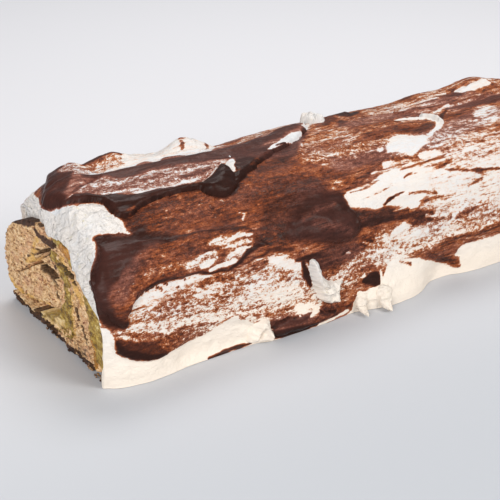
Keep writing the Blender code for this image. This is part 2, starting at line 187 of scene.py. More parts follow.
# The chocolate that is smeared over the cream: (film, grain, feather, places of one or more areas).
# A film of 0 is where bare cream begins to show, 0.2 a thin tan wipe, 0.5 a brown glaze and 1 thick dark
# chocolate.  Grain is how streaked and speckled it is.  Each row is laid over those before it.
CREAM = -0.42
PAINT = (
    # the golden brown glaze along the upper front, and the lighter wipe right of it
    (0.49, 0.60, 6, ((20, 60, 6), (60, 66, 12), (112, 74, 8))),
    (0.40, 0.50, 5, ((92, 77, 2), (104, 77, 3), (116, 74, 3))),
    (0.26, 0.95, 3, ((117, 79), (119, 84), (123, 91), (130, 97), (138, 102), (150, 108), (180, 110),
        (210, 108), (300, 108), (300, 64), (190, 64), (150, 66), (140, 64), (119, 58), (118, 68))),
    (0.20, 1.00, 5, ((126, 88, 3), (140, 92, 4), (160, 93, 3))),
    (0.16, 1.00, 4, ((124, 81, 2), (138, 79, 3), (152, 84, 2))),
    (0.46, 0.80, 4, ((122, 66, 3), (138, 70, 4), (158, 70, 3))),
    (0.54, 0.70, 4, ((119, 76, 2), (123, 72, 3), (128, 67, 3), (130, 62, 2))),
    (0.46, 0.80, 3, ((150, 84, 2), (166, 86, 3), (184, 87, 3))),
    (0.36, 0.90, 4, ((160, 99, 3), (180, 98, 3), (200, 98, 2))),
    (0.22, 1.00, 3, ((156, 92, 2), (168, 93, 3), (180, 93, 2))),
    (0.58, 0.70, 3, ((178, 84, 2), (188, 82, 3), (197, 84, 2))),
    (0.60, 0.60, 2, ((156, 103, 1), (161, 107, 2))),
    (0.44, 0.80, 4, ((208, 88, 4), (222, 86, 5), (232, 92, 3))),
    (0.10, 1.00, 3, ((188, 67, 3), (206, 66, 4), (224, 67, 4))),
    # the top behind the dark ridge
    (0.16, 1.00, 4, ((14, 112, 8), (44, 112, 8))),
    (0.14, 1.00, 4, ((88, 110, 6), (116, 116, 10))),
    (0.22, 1.00, 5, ((130, 122, 10), (210, 118, 12), (300, 118, 12))),
    (0.66, 0.40, 2, ((28, 119, 1.5), (40, 120, 1.5), (48, 118, 1))),
    (-0.30, 0.70, 1.5, ((31, 104.5), (40, 103), (50, 104), (56, 102), (60, 105), (66, 104), (72, 101.5),
        (78, 99.5), (84, 102), (90, 110), (92, 124), (80, 136), (52, 130), (47, 118), (41, 108))),
    (0.30, 1.00, 1.5, ((73, 111, 1), (76, 116, 1.2), (80, 119, 1))),
    (0.40, 0.80, 1, ((84, 108, 0.6), (88, 114, 0.8))),
    (-0.2, 0.90, 3, ((140, 110, 2), (147, 118, 3))),
    (0.50, 0.60, 2, ((152, 108, 2), (158, 113, 4))),
    (0.80, 0.50, 2, ((164, 118, 3), (170, 113, 2.4), (175, 114, 2))),
    (0.04, 1.00, 4, ((182, 112, 5), (204, 108, 5), (228, 112, 4))),
    (0.55, 0.80, 2, ((208, 117, 1), (214, 119, 2))),
    (0.66, 0.60, 2, ((226, 108, 2), (235, 105, 2), (238, 110, 2))),
    (-0.35, 0.60, 1.5, ((239, 108, 2), (246, 106, 3), (256, 107, 3))),
    (0.50, 0.70, 1, ((190, 103, 0.5), (205, 101, 0.6), (222, 99.4, 0.6), (250, 98, 0.6))),
    (0.64, 0.50, 1.5, ((222, 96, 1.4), (234, 93.6, 3), (256, 93, 3))),
    # the white patches of the front, far side
    (-0.20, 0.80, 3, ((152, 53, 6), (172, 52, 9), (200, 50, 10), (260, 48, 11), (300, 48, 11))),
    (-0.04, 1.00, 4, ((176, 60, 3), (200, 59, 4), (260, 58, 6))),
    (CREAM, 0.40, 1.5, ((122.6, 50), (124, 53.6), (128, 56.6), (134, 57.4), (140, 57.6), (146, 59.6),
        (152, 61.4), (160, 61), (168, 59), (172, 54), (170, 47), (162, 42), (156, 42.6), (150, 44.6),
        (144, 46), (138, 46.2), (130, 48.4))),
    (CREAM, 0.50, 1.6, ((161, 72), (162.4, 75), (166, 77.6), (170, 81), (175, 81.6), (181, 79), (187, 76),
        (192, 74), (188, 71), (183, 70), (179, 69.4), (175, 67.4), (171, 66.4), (168, 68.6), (165, 70.6))),
    (0.50, 0.90, 1.6, ((128, 58, 1.4), (136, 60.4, 1.8), (144, 63, 0.8), (152, 66.6, 0.8), (160, 68.4, 0.8),
        (170, 65, 0.7))),
    (-0.35, 0.60, 1, ((156.6, 74, 0.8), (159, 75, 1.2))),
    (0.12, 1.00, 3, ((186, 72, 2), (196, 72, 4), (206, 74, 4))),
    (CREAM, 0.40, 0.9, ((184, 95.6, 0.5), (190, 94.2, 1.2), (196, 93.4, 1.2), (200.6, 91.6, 1.2),
        (203, 88.4, 1.6), (203, 85, 1.8), (200.6, 81, 1.6), (195, 78, 1), (190, 75.6, 0.8))),
    (0.74, 0.40, 0.8, ((205, 84.6, 0.5), (210, 90, 1), (215, 93.6, 0.8), (220, 96, 0.3))),
    (-0.2, 0.60, 0.8, ((210, 95.4, 0.9), (216, 97, 0.9), (224, 98.8, 0.3))),
    (-0.04, 0.90, 3, ((230, 83, 3), (240, 86, 4))),
    (0.12, 1.00, 3, ((228, 75, 3), (246, 78, 4))),
    (CREAM, 0.60, 1.2, ((152.6, 63.8), (154, 66.6), (158, 67), (162, 65), (160, 63.2), (156, 62.8)),
        ((161.6, 62), (163, 65), (168, 64.6), (172, 62.4), (168, 60.4)), ((174, 64), (177, 66.4),
        (183, 65.6), (187, 62.8), (181, 61.6))),
    (-0.35, 0.60, 0.8, ((144, 62.6, 0.5), (148, 62.8, 0.6))),
    (0.14, 1.00, 2.5, ((148, 61.4, 0.8), (160, 63.6, 1.2), (172, 63, 1))),
    (0.24, 1.00, 1, ((129, 55.4, 0.4), (138, 56.4, 0.6), (146, 58, 0.5))),
    (0.16, 1.00, 1, ((133, 52, 0.3), (143, 52.6, 0.5), (152, 54.4, 0.4))),
    (0.52, 0.70, 0.9, ((160, 60.6, 0.4), (170, 61, 0.5), (186, 60.4, 0.4))),
    (0.60, 0.70, 0.8, ((159, 55.6, 0.4), (163, 57.2, 0.6), (167, 56.6, 0.4))),
    (0.60, 0.60, 0.7, ((183, 54.6, 0.3), (195, 51.8, 0.5), (203, 50.2, 0.8), (217, 47.8, 0.4))),
    (0.42, 0.80, 0.9, ((178, 56.6, 0.4), (184, 57.4, 0.7), (190, 58, 0.4))),
    (0.30, 0.90, 1.2, ((158, 48.6, 0.5), (166, 47.6, 0.9), (175, 44.8, 0.9))),
    (0.50, 0.80, 0.9, ((194, 44.8, 0.5), (203, 46.2, 0.6))),
    (0.30, 0.90, 1, ((164, 44, 0.4), (186, 43, 0.4), (198, 42, 0.4))),
    (0.98, 0.10, 0.6, ((143, 46.6, 0.4), (146.5, 48.4, 0.7), (151, 49.2, 0.5), (156, 49.8, 0.2))),
    # the speckled lower front, far side
    (-0.12, 1.00, 3, ((166, 38, 4), (190, 38, 5), (260, 38, 6))),
    (0.02, 1.00, 3, ((136, 27, 7), (156, 27, 8), (180, 28, 6), (215, 28, 5), (300, 28, 5))),
    (0.18, 1.00, 4, ((116, 28, 4), (126, 24, 4), (134, 30, 3))),
    (0.64, 0.70, 3, ((102, 31, 4), (113, 31, 5), (124, 32, 4), (132, 33, 2))),
    (0.66, 0.70, 1.5, ((124, 45, 3), (132, 43, 3.4), (142, 42.4, 3), (152, 40, 2.4), (160, 38.6, 1.8),
        (170, 37, 1))),
    (0.10, 0.90, 0.8, ((148, 42.6, 0.4), (154, 42.4, 0.7), (160, 40.6, 0.5))),
    (0.92, 0.50, 1.2, ((126, 41, 1), (136, 40.4, 1.6), (146, 40, 1))),
    (0.44, 0.80, 1.5, ((130, 36.6, 1.6), (142, 37.2, 1.4), (150, 37.4, 0.8))),
    (0.70, 1.00, 2, ((156, 35.6, 1.6), (163, 34.6, 2.2), (171, 34.4, 1.4))),
    (-0.2, 1.00, 0.8, ((166, 36.6, 0.5), (171, 35.4, 0.9), (174, 35, 0.4))),
    (0.44, 1.00, 1.5, ((172, 33, 1.4), (181, 32.6, 1))),
    (-0.4, 0.60, 1.5, ((146, 33, 1.2), (152, 34.6, 2), (156, 34, 0.8))),
    (0.55, 0.90, 2, ((186, 32, 1), (191, 33, 1.8), (197, 33, 1))),
    (0.12, 0.90, 2, ((199, 34.6, 1), (206, 34, 1.4))),
    (0.04, 1.00, 2, ((162, 24, 2), (170, 24, 2))),
    (-0.16, 1.00, 2, ((150, 31, 2), (158, 28, 2.4), (166, 28, 2))),
    (0.08, 1.00, 2, ((184, 27, 2), (204, 27, 3))),
    (0.42, 0.90, 1.5, ((168, 19), (173, 20.6), (180, 22), (192, 21.4), (204, 22), (216, 23.4), (300, 25),
        (300, 17), (216, 17), (204, 15.6), (194, 16), (187, 16.6), (181, 14.6), (187, 10), (190.6, 6),
        (188, 4.6), (179, 9), (171, 13), (167.4, 17))),
    (0.30, 0.90, 2, ((186, 18, 1), (204, 17.6, 1.4))),
    (0.70, 0.80, 0.9, ((176, 20, 0.4), (188, 20.6, 0.8), (200, 20, 0.5), (214, 21, 0.6))),
    (0.66, 0.90, 1.5, ((169, 16, 1), (176, 12.4, 1.4), (184, 9, 1.2), (188, 6.4, 1.4))),
    # the mottled smear on the lower front, near side
    (-0.01, 0.95, 2, ((4, 26), (8, 28.6), (10.4, 33), (13, 37.6), (20, 40.4), (30, 40.4), (42, 40.4),
        (52, 38.4), (60, 37.4), (70, 39.4), (82, 40), (90, 36), (97, 30), (101, 24), (104, 16), (103, 9),
        (88, 8.6), (74, 11), (67, 13), (60, 17.5), (54, 15), (46, 12), (28, 12), (18, 16), (9, 21))),
    (0.40, 0.80, 1.2, ((5, 24.6, 0.5), (12, 23, 0.9), (20, 20.4, 1), (27, 19, 0.6))),
    (0.38, 0.90, 2, ((18, 17), (24, 18.6), (34, 18.8), (44, 18), (53, 16), (55, 13.8), (46, 11.4),
        (34, 10.6), (24, 10.6))),
    (0.14, 1.00, 2, ((36, 17, 1.5), (46, 15, 1.5), (56, 13.4, 1))),
    (0.30, 0.95, 2, ((70, 13.6, 0.8), (80, 12, 1.8), (90, 12.4, 1.6))),
    (0.22, 1.00, 2.5, ((26, 33, 1.5), (34, 34, 1.6), (41, 32, 1))),
    (0.34, 1.00, 2, ((46, 35, 1.6), (54, 36, 1.6), (60, 34, 1))),
    (0.36, 1.00, 2, ((62, 36, 1), (70, 35.4, 2), (78, 37, 1.6))),
    (-0.26, 0.90, 2.5, ((12, 35, 0.6), (18, 37.2, 1.2), (28, 38.4, 1.4), (38, 38.4, 1.2), (50, 38, 0.8))),
    (-0.38, 0.60, 2, ((80, 37, 1.6), (88, 33, 2.4), (96, 29, 1.6), (98, 24, 1))),
    (-0.08, 0.95, 4, ((66, 26, 4), (86, 22, 6))),
    (0.18, 1.00, 2, ((95, 23, 2), (98, 17, 2), (95, 11, 2))),
    (0.09, 1.00, 3, ((16, 30, 2), (30, 26, 5), (52, 26, 5), (66, 30, 3))),
    (0.20, 1.00, 1.5, ((84, 30, 1), (87, 26, 1))),
    (0.16, 1.00, 2, ((110, 19, 2), (117, 21, 2), (126, 22, 2))),
    (0.26, 1.00, 2.5, ((104, 14, 2), (112, 12, 4), (122, 12, 4), (128, 17, 3))),
    (0.56, 0.80, 2, ((78, 8, 1.4), (96, 6, 2.6), (112, 5, 3), (120, 4, 1.5))),
    (-0.4, 0.50, 1, ((90, 12.4, 1), (94, 11, 1.8), (98, 11.6, 0.8))),
    (-0.4, 0.60, 1, ((97, 7, 1), (101, 8.6, 1.4))),
    (-0.1, 1.00, 1.2, ((117, 16.6, 0.6), (121, 14.6, 1.0))),
    (-0.06, 1.00, 1.2, ((110, 21, 0.6), (116, 23, 1.0), (122, 25, 0.8))),
    # the near lobe of brown glaze
    (0.46, 0.70, 1, ((10, 66), (7, 62), (5, 56), (1, 50), (-2, 46), (-2, 40), (1, 34), (4, 29), (8, 26.5),
        (10, 28), (11, 31), (13, 35), (18, 38), (24, 41), (32, 41), (42, 40.5), (50, 39), (57, 38.5),
        (64, 40), (70, 43), (78, 45), (75, 49), (73, 52), (66, 55), (50, 57), (38, 57), (28, 60), (20, 64),
        (14, 66))),
    (0.50, 0.80, 3, ((8, 37, 2), (12, 42, 3), (18, 47, 2.4), (28, 51, 2))),
    (0.26, 1.00, 2.5, ((21, 45.4, 1.2), (30, 46, 1.8), (38, 45, 1))),
    (0.14, 1.00, 2, ((40, 43.8, 1.4), (47, 45, 2.2), (54, 44.6, 1.6))),
    (-0.3, 1.00, 0.8, ((46, 42.6, 0.5), (50, 42.8, 1.0), (54, 43.8, 0.7))),
    (-0.2, 1.00, 0.7, ((43, 45, 0.3), (50, 46.6, 0.5), (54, 46.8, 0.3))),
    (0.08, 1.00, 2, ((53, 50.6, 1.4), (60, 50, 2.6), (68, 48, 4), (66, 43, 2.6), (60, 41.6, 2))),
    (-0.3, 1.00, 0.8, ((53, 50.4, 0.5), (59, 51.8, 0.8)), ((61, 50, 0.4), (68, 51.4, 0.7), (73, 50, 0.6))),
    (-0.2, 1.00, 0.8, ((58, 47.4, 0.3), (66, 47.4, 0.6), (72.6, 47.4, 0.6)), ((60, 43.6, 0.4),
        (67, 44.4, 0.7), (72.6, 45, 0.5))),
    (CREAM, 0.80, 0.8, ((50, 40.6, 0.4), (57, 40.2, 0.9), (63, 41, 0.8))),
    (0.40, 0.90, 0.7, ((59, 49.6, 0.3), (66, 49.4, 0.4), (72, 48.8, 0.3)), ((60, 45.6, 0.3), (68, 46, 0.4),
        (73, 46.2, 0.3))),
    # the band between the lobe and the slab
    (0.92, 0.15, 4, ((21, 80, 2), (24, 72, 2), (28, 66, 2.5), (24, 61, 2.5), (36, 58, 2))),
    (0.66, 0.70, 4, ((26, 69, 3), (36, 73, 2.4), (48, 75, 1.4))),
    (0.50, 0.80, 4, ((40, 66, 3), (56, 70, 3), (62, 64, 3))),
    (0.16, 0.90, 1.5, ((40, 57.6, 0.5), (49, 58, 0.8))),
    (-0.2, 0.60, 1, ((71, 60.3, 0.4), (75, 59, 0.5), (72, 57, 0.5))),
    (-0.3, 0.50, 0.6, ((82, 61.6, 0.4), (82.6, 61.9, 0.4))),
    (-0.1, 0.70, 1, ((68, 68.4, 0.4), (69, 68, 0.3))),
    (-0.1, 0.70, 0.8, ((42, 70.6, 0.3), (43, 71, 0.3))),
    (-0.1, 0.80, 1, ((82, 73.4, 0.4), (86, 73.6, 0.4))),
    (0.58, 0.60, 3, ((94, 81, 2), (106, 83, 3), (118, 90, 3), (124, 95, 1.5))),
    # the dark pool
    (0.62, 0.55, 6, ((84, 64, 2), (92, 67, 3), (102, 67, 4), (114, 66, 3))),
    (0.66, 0.60, 7, ((80, 50, 3), (86, 55, 6), (96, 59, 8), (110, 61, 7))),
    (0.70, 0.80, 5, ((77, 46, 2), (88, 46, 4), (98, 46, 4))),
    (0.92, 0.20, 6, ((88, 46), (92, 43), (96, 41.5), (101, 39.5), (108, 37), (116, 35.5), (123, 36.4),
        (127, 39), (128, 43), (126, 47.5), (124.5, 50), (124, 53), (123, 57), (116, 59), (106, 59),
        (98, 55), (92, 51))),
    # a lighter, speckled streak over the pool's bulge: painted highlight
    (0.62, 1.00, 3, ((104, 46.6, 1.6), (112, 43.6, 1.6), (120, 40.6, 1.8))),
    (0.66, 0.80, 2, ((98, 50, 0.8), (106, 52, 1.2), (116, 52, 1))),
    (0.44, 0.30, 0.6, ((75, 60.4, 0.2), (85, 64, 0.25), (95, 66.4, 0.3), (104, 66, 0.3), (112, 62, 0.2))),
    (0.62, 0.80, 3, ((98, 33, 2), (112, 31, 3), (124, 32, 2))),
    (-0.2, 0.60, 0.7, ((118.6, 30.4, 0.5), (120.6, 30, 0.4)), ((128, 32.6, 0.5), (131, 31.4, 0.5))),
    # the upper slab
    (0.86, 0.30, 2, ((2, 94, 4), (7, 102, 6), (11, 112, 8), (12, 122, 5))),
    (0.80, 0.30, 2, ((20, 101.4, 1.4), (30, 101.6, 2.4), (40, 98.6, 3.4), (56, 98.2, 3.6), (70, 96.6, 3.6),
        (84, 95.4, 4.6), (96, 97, 6), (108, 102, 4), (122, 106, 3.4), (134, 109, 2.6), (143, 115, 1.5))),
    (0.76, 0.45, 2, ((92, 90, 5), (104, 92, 4), (114, 93, 3), (124, 97, 1.8), (136, 103, 0.8))),
    (0.95, 0.15, 1.4, ((3, 92.6, 2), (12, 89, 1.6), (20, 84, 2.6), (25, 79, 5), (31, 78, 3), (40, 79, 1),
        (54, 79, 0.8), (62, 77.6, 1), (66, 75, 2.4))),
    (1.00, 0.10, 1.2, ((62, 78), (66, 79.6), (71, 81.6), (75, 84.4), (78.4, 86.4), (79.6, 84), (81.4, 80),
        (84, 80), (88, 84), (94, 86), (88, 80), (80, 75), (76, 70), (69, 69), (64, 73))),
    (0.84, 0.25, 2, ((84, 84, 3), (92, 87, 4))),
    (-0.02, 1.00, 3, ((16, 112, 4), (26, 112, 6), (38, 110, 5))),
    # the slab's pale streaky middle: a thin wipe with cream showing through, lightened further as painted
    # sheen
    (0.13, 1.00, 1.6, ((13, 93), (20, 96), (27, 99.6), (33, 96.4), (45, 94), (60, 93), (74, 91.6),
        (84, 90.6), (82, 87.6), (78, 87.6), (72, 84), (66, 81), (60, 80.2), (44, 80.4), (33, 81), (30, 84),
        (22, 86), (15, 90))),
    (0.40, 1.00, 2, ((16, 91, 1), (26, 88.4, 1.8), (34, 87, 1))),
    (-0.16, 1.00, 1.2, ((33, 81.6, 0.6), (42, 81, 0.6), (54, 80.8, 0.8), (64, 81.2, 0.8))),
    (0.50, 1.00, 2, ((56, 84, 0.8), (66, 85, 1.6), (72, 86.4, 1))),
    (0.30, 1.00, 3, ((18, 91, 1.6), (34, 88, 2), (50, 89.4, 1.6))),
    (-0.25, 0.80, 0.8, ((64, 79.4, 0.3), (70, 82, 0.4), (77, 86.2, 0.4))),
    (0.70, 0.50, 0.6, ((9, 91.4, 0.3), (15, 94.4, 0.5), (20, 97, 0.5), (26, 100.4, 0.3))),
    (0.00, 0.60, 0.6, ((7.6, 91.2, 0.3), (11, 92, 0.4))),
    (CREAM, 0.30, 0.6, ((79.4, 80), (81.4, 80.4), (84, 84), (86.4, 89), (84.4, 90.2), (81.6, 87.6),
        (79.8, 84))),
    (CREAM, 0.30, 0.8, ((106, 91.4), (109, 94), (115, 97), (121, 100.6), (128, 103), (134, 103.4),
        (131, 100.4), (125, 97.2), (118, 94.8), (111, 92.6))),
    (1.00, 0.10, 0.5, ((113.6, 94.6, 0.5), (118, 95.4, 0.6))),
    # the bare cream of the near end and its crack
    (CREAM, 0.20, 0.9, ((-30, 104), (-3, 101), (-1, 97), (1, 94.6), (4, 90.4), (7, 87.4), (12, 86),
        (19, 83), (19.5, 78), (20.5, 74), (21.5, 70), (21.5, 66), (19, 66), (16, 65), (13, 66.5), (9, 66),
        (7.5, 63), (7, 59), (5, 55), (2, 52.5), (-1, 49), (-3, 45), (-3.5, 40), (-3, 34), (0, 30),
        (-12, 24), (-30, 60))),
    (0.92, 0.12, 2.5, ((8, 66.6), (14, 66), (20, 64), (27, 61.4), (33, 59), (34, 57), (26, 56), (20, 53.4),
        (15, 50.4), (10, 47.6), (5.4, 45), (4, 40), (4.6, 35), (7, 31.4), (11, 29), (8, 26), (2, 29),
        (-1, 34), (-4, 40), (-4, 47), (-1, 52), (3, 57), (6, 62))),
    (0.80, 0.30, 2.5, ((32, 57.6, 1.4), (44, 56.6, 0.8))),
    (0.60, 0.50, 1.5, ((15, 64.6, 0.8), (21, 63.4, 0.8))),
    (CREAM, 0.30, 0.8, ((19, 65.6, 0.8), (22, 64.2, 0.7))),
    (CREAM, 0.30, 1.0, ((-10, 99), (-0.6, 101), (-0.2, 106), (0, 112), (0.8, 118), (2.4, 124), (4.4, 132),
        (7, 142), (9, 152), (-10, 152))),
    # dark rims and lines
    (1.00, 0.10, 0.5, ((13.2, 36.2, 0.2), (16, 39, 0.5)), ((15.8, 36.4, 0.2), (18.2, 39, 0.5)),
        ((18.4, 37.4, 0.2), (20.6, 40, 0.5))),
    (0.95, 0.10, 0.6, ((21, 38.8, 0.4), (23, 40, 0.8))),
    (1.00, 0.60, 0.5, ((25, 39.6, 0.3), (26.4, 38.8, 0.4)), ((27, 38.4, 0.2), (28, 37.8, 0.3)),
        ((29.6, 40, 0.3), (30.6, 39, 0.3))),
    (0.90, 0.60, 0.5, ((34, 38.2, 0.2), (34.8, 37.4, 0.3)), ((38, 39.6, 0.2), (39, 38.8, 0.2))),
    # the dark lower edge of the lobe's chocolate, with painted shadow under the edge
    (1.00, 0.10, 0.8, ((20, 40.4, 0.3), (22, 41, 0.6), (32, 40.9, 0.4), (46, 40.6, 0.4), (52, 38.8, 0.4),
        (59, 37.6, 0.5), (65, 40, 0.9), (70, 43, 1.1), (77, 44.6, 0.7), (81, 43, 0.3))),
    (0.85, 0.20, 0.8, ((24, 58, 0.4), (36, 56.2, 0.6), (50, 56, 0.5), (64, 54.8, 0.4), (72, 52.6, 0.4),
        (74.5, 50, 0.3))),
    (0.70, 0.40, 0.8, ((60, 37, 0.2), (70, 38.8, 0.4), (80, 40.8, 0.5), (90, 39.6, 0.8))),
    # the dark slit left of the side peak: dark chocolate, painted darker as the peak's shadow
    (1.00, 0.15, 1.2, ((92, 33.6, 0.6), (96, 34, 1.2), (100, 34, 1.4), (104, 32.4, 0.8))),
    (1.00, 0.15, 1, ((94.6, 32, 0.8), (95.4, 28.4, 1.6), (97, 24.4, 1.6), (99, 20.4, 0.8))),
    # the foot
    (CREAM, 0.25, 1, ((-20, 30), (0, 28.6), (3.4, 25), (4, 21.6), (6, 17), (10, 13.4), (18, 11), (26, 9.4),
        (29, 10.4), (42, 10.8), (50, 12.4), (56, 14.4), (60, 17), (63.4, 14.4), (68, 11.6), (72, 10),
        (75.4, 9.4), (76.4, -8), (-20, -8))),
    (CREAM, 0.25, 1.4, ((121, -8), (122, 2), (124, 7), (130, 8), (137, 8), (139, 13), (141, 18.4),
        (146, 19.6), (154, 18), (161, 16.6), (168, 14), (177, 9.4), (184, 5.4), (189, 3.4), (191.4, 5),
        (190, 9), (187, 12.4), (191, 15.4), (200, 15.2), (214, 15.6), (260, 16), (320, 16), (320, -8))),
    (CREAM, 0.50, 0.8, ((98, 0, 0.7), (112, 0.8, 0.7), (119, 2.4, 0.8))),
    (CREAM, 0.50, 1.0, ((123.6, 5, 1.6), (127, 6.4, 3.2), (138, 6.4, 4.6))),
    (0.66, 0.40, 1.2, ((4, 22.6), (8, 22), (14, 20.4), (20, 18), (24, 15), (27.4, 10.6), (24, 9.6),
        (17, 11.4), (10, 13.8), (6.4, 17))),
    (1.00, 0.10, 1.4, ((4.6, 21, 0.8), (6.8, 17, 1.4), (11, 14.2, 1.8), (18, 12.2, 1.4), (25, 10.8, 0.7))),
    (0.80, 0.20, 1.5, ((78, 8, 1), (86, 7.4, 1.6), (94, 7, 1))),
    (1.00, 0.10, 1.5, ((78, 3, 2.4), (88, 2.4, 2.6), (100, 1.6, 1.6))),
    (0.90, 0.20, 0.8, ((47, 0.3, 0.7), (60, 0.6, 0.9), (68, 0.2, 0.4))),
    (0.26, 0.90, 1, ((149, 18.4, 0.5), (152, 16.6, 0.7), (156, 15.2, 1))),
    (-0.14, 0.30, 2, ((160, 15, 0.6), (170, 9, 1), (178, 4, 1))),
    (0.40, 0.80, 1.5, ((127, 20, 1), (132, 20, 1.8), (136.4, 17.6, 1))),
    (1.00, 0.15, 0.7, ((127, 15.4), (131, 17), (134.6, 17.6), (137.4, 15), (137.8, 11.4), (134.4, 11),
        (130, 12.4), (127.4, 13.6))),
    (CREAM, 0.40, 0.6, ((127.2, 16.6, 0.6), (128.2, 17, 0.9)), ((137.4, 18, 0.3), (138.2, 14, 0.7),
        (137.8, 10, 0.6))),
    # the back
    (0.26, 1.00, 8, ((0, 150, 22), (100, 152, 22), (200, 150, 22), (300, 150, 22))),
    (0.02, 1.00, 8, ((4, 150, 8), (22, 166, 10), (30, 180, 6))),
    (0.04, 1.00, 9, ((118, 174, 9), (150, 172, 9), (196, 176, 8), (250, 178, 8))),
    (-0.16, 1.00, 3, ((18, 142), (30, 145), (44, 141), (58, 143), (74, 138), (92, 139), (86, 134),
        (66, 135), (48, 132), (30, 136)), ((112, 158), (124, 165), (140, 170), (158, 172), (182, 178),
        (194, 174), (178, 168), (164, 166), (150, 160), (132, 160))),
    (-0.16, 1.00, 4, ((190, 136), (206, 142), (224, 140), (246, 144), (266, 142), (254, 136), (232, 134),
        (212, 131))),
    (0.86, 0.50, 5, ((38, 160), (48, 167), (62, 171), (84, 170), (98, 167), (112, 160), (104, 153),
        (86, 151), (66, 155), (50, 154))),
    (0.62, 0.80, 6, ((140, 152, 3), (160, 150, 5), (180, 151, 6), (204, 156, 4), (220, 157, 6),
        (248, 164, 3))),
    (0.50, 0.90, 6, ((10, 172, 4), (40, 178, 4), (60, 180, 6), (96, 178, 5))),
    (0.44, 0.90, 6, ((276, 150, 6), (290, 164, 7), (280, 176, 5))),
    (CREAM, 0.50, 2, ((-20, 187), (6, 190), (22, 185), (34, 181), (46, 183), (58, 189), (76, 192),
        (94, 188), (108, 182), (124, 180), (138, 184), (152, 190), (172, 191), (188, 186), (206, 181),
        (222, 180), (236, 186), (252, 191), (270, 188), (286, 183), (320, 186), (320, 240), (-20, 240))),
)
FILM_DEFAULT, GRAIN_DEFAULT = 0.34, 0.8
# Where the film is dotted rather than streaked: (share, feather, places)
DOTS = (
    (1.0, 6, ((8, 24, 4), (40, 24, 12), (90, 26, 11))),
    (0.8, 5, ((112, 20, 8), (140, 28, 8), (180, 28, 8), (300, 29, 8))),
    (0.8, 4, ((24, 14, 4), (50, 14, 4), (80, 9, 4), (110, 8, 5))),
    (0.7, 6, ((30, 67, 8), (110, 72, 7))),
    (0.6, 6, ((126, 86, 8), (160, 74, 8), (200, 72, 8))),
    (0.5, 6, ((16, 44, 8), (40, 48, 6), (68, 47, 6))),
    (0.7, 6, ((78, 48, 3), (86, 50, 5), (96, 46, 4))),
    (0.7, 3, ((12, 94), (27, 99), (45, 94), (80, 90), (66, 81), (33, 81), (20, 87))),
    (0.6, 4, ((12, 112, 6), (44, 112, 6))),
)
# Where the chocolate is mauve rather than rust-coloured: partly its own tint, partly painted sheen where the
# light glances off the top and the glossy bulges
MAUVE_AND_SHEEN = (
    (1.0, 4, ((0, 92), (20, 86), (40, 80), (66, 80), (80, 88), (100, 88), (118, 88), (130, 97), (143, 112),
        (118, 118), (90, 108), (60, 106), (30, 106), (16, 128), (2, 110))),
    (0.8, 5, ((2, 40, 3), (6, 54, 5), (16, 58, 5), (30, 57, 2))),
    (0.7, 4, ((8, 40, 3), (16, 52, 4))),
    (0.9, 5, ((92, 46, 3), (106, 45, 5), (120, 43, 5))),
    (0.5, 6, ((106, 57, 6), (118, 54, 5))),
    (0.7, 6, ((104, 31, 4), (122, 31, 4))),
    (0.7, 6, ((134, 72, 5), (160, 72, 4), (200, 74, 6), (240, 84, 6))),
    (0.8, 5, ((222, 96, 3), (256, 93, 4))),
    (0.7, 6, ((160, 102, 5), (190, 100, 4), (240, 104, 4))),
    (0.6, 8, ((0, 150, 22), (300, 150, 22))),
    (0.6, 4, ((80, 7, 4), (96, 7, 3))),
)
# Where the cream is torn and crumbly
CRUMBLE = (
    (1.0, 4, ((-10, 96), (4, 90), (14, 85), (20, 80), (21, 66), (13, 66), (7, 58), (0, 50), (-10, 50))),
    (0.8, 6, ((0, 118, 8), (2, 150, 12), (2, 175, 8))),
    (0.7, 3, ((40, 113, 2), (60, 122, 5))),
    (0.7, 3, ((78, 112, 2), (86, 124, 5))),
    (0.5, 4, ((146, 118, 6), (152, 124, 5))),
    (0.8, 3, ((120, 3, 3), (128, 6, 5), (140, 7, 5))),
)


def painted(along, around):
    """Film and grain of the chocolate at places on the coat."""
    a, b = warped(along, around)
    film = np.full(a.shape, FILM_DEFAULT)
    grain = np.full(a.shape, GRAIN_DEFAULT)
    for thickness, streaks, feather, *areas in PAINT:
        for places in areas:
            inside = mask(a, b, places, feather)
            film += (thickness - film) * inside
            grain += (streaks - grain) * inside
    streak = layered(along / 11 + around / 40, around / 1.7 + along / 30, 21, 3)
    cloud = layered(along / 9, around / 4.5, 27, 4)
    return film + grain * (0.2 * streak + 0.12 * cloud), grain


# Ridges (height, half width, places) and hollows (negative height) in the coat
RIDGES = (
    (1.6, 4.5, ((-3, 130), (-2, 138), (-1, 150))),
    (0.7, 3.0, ((0, 112), (2, 104), (5, 96))),
    (0.7, 1.0, ((24, 58), (36, 56.4), (50, 56.2), (64, 55), (72, 53), (74.5, 50), (73.5, 46.5), (78, 44))),
    (0.6, 0.9, ((14, 37.4), (22, 40.4), (32, 41.2), (44, 40.4), (52, 38.8), (58, 38.4), (64, 40.6),
        (70, 43.4))),
    (0.7, 1.0, ((117, 80), (119, 85), (123, 91), (128, 96), (133, 99.6), (140, 103))),
    (0.8, 1.2, ((186, 97), (193, 95), (199, 92.5), (204, 88), (200, 81.5), (194, 77))),
    (0.5, 0.8, ((205, 92), (212, 95), (224, 100))),
    (0.5, 1.0, ((217, 95.5), (230, 91.5), (246, 92), (262, 92))),
    (2.4, 5.0, ((22, 117), (32, 120), (42, 119))),
    (-1.6, 5.0, ((60, 118), (68, 119))),
    (1.6, 5.0, ((77, 117), (86, 116))),
    (1.2, 2.0, ((155, 108), (160, 116), (170, 116))),
    (-0.6, 0.6, ((143, 46.6), (146.5, 48.4), (151, 49.2), (156, 49.8))),
    (0.6, 1.4, ((146, 47.5), (152, 48), (158, 48.4))),
    (-0.7, 0.5, ((0.5, 62), (1.5, 58), (2, 54), (1.5, 50))),
    (0.8, 1.4, ((-1, 60), (0, 54), (-0.5, 50))),
    (0.6, 2.0, ((60, 17), (66, 13), (72, 10.5))),
    (-0.5, 1.2, ((62, 12), (68, 9), (73, 5))),
)


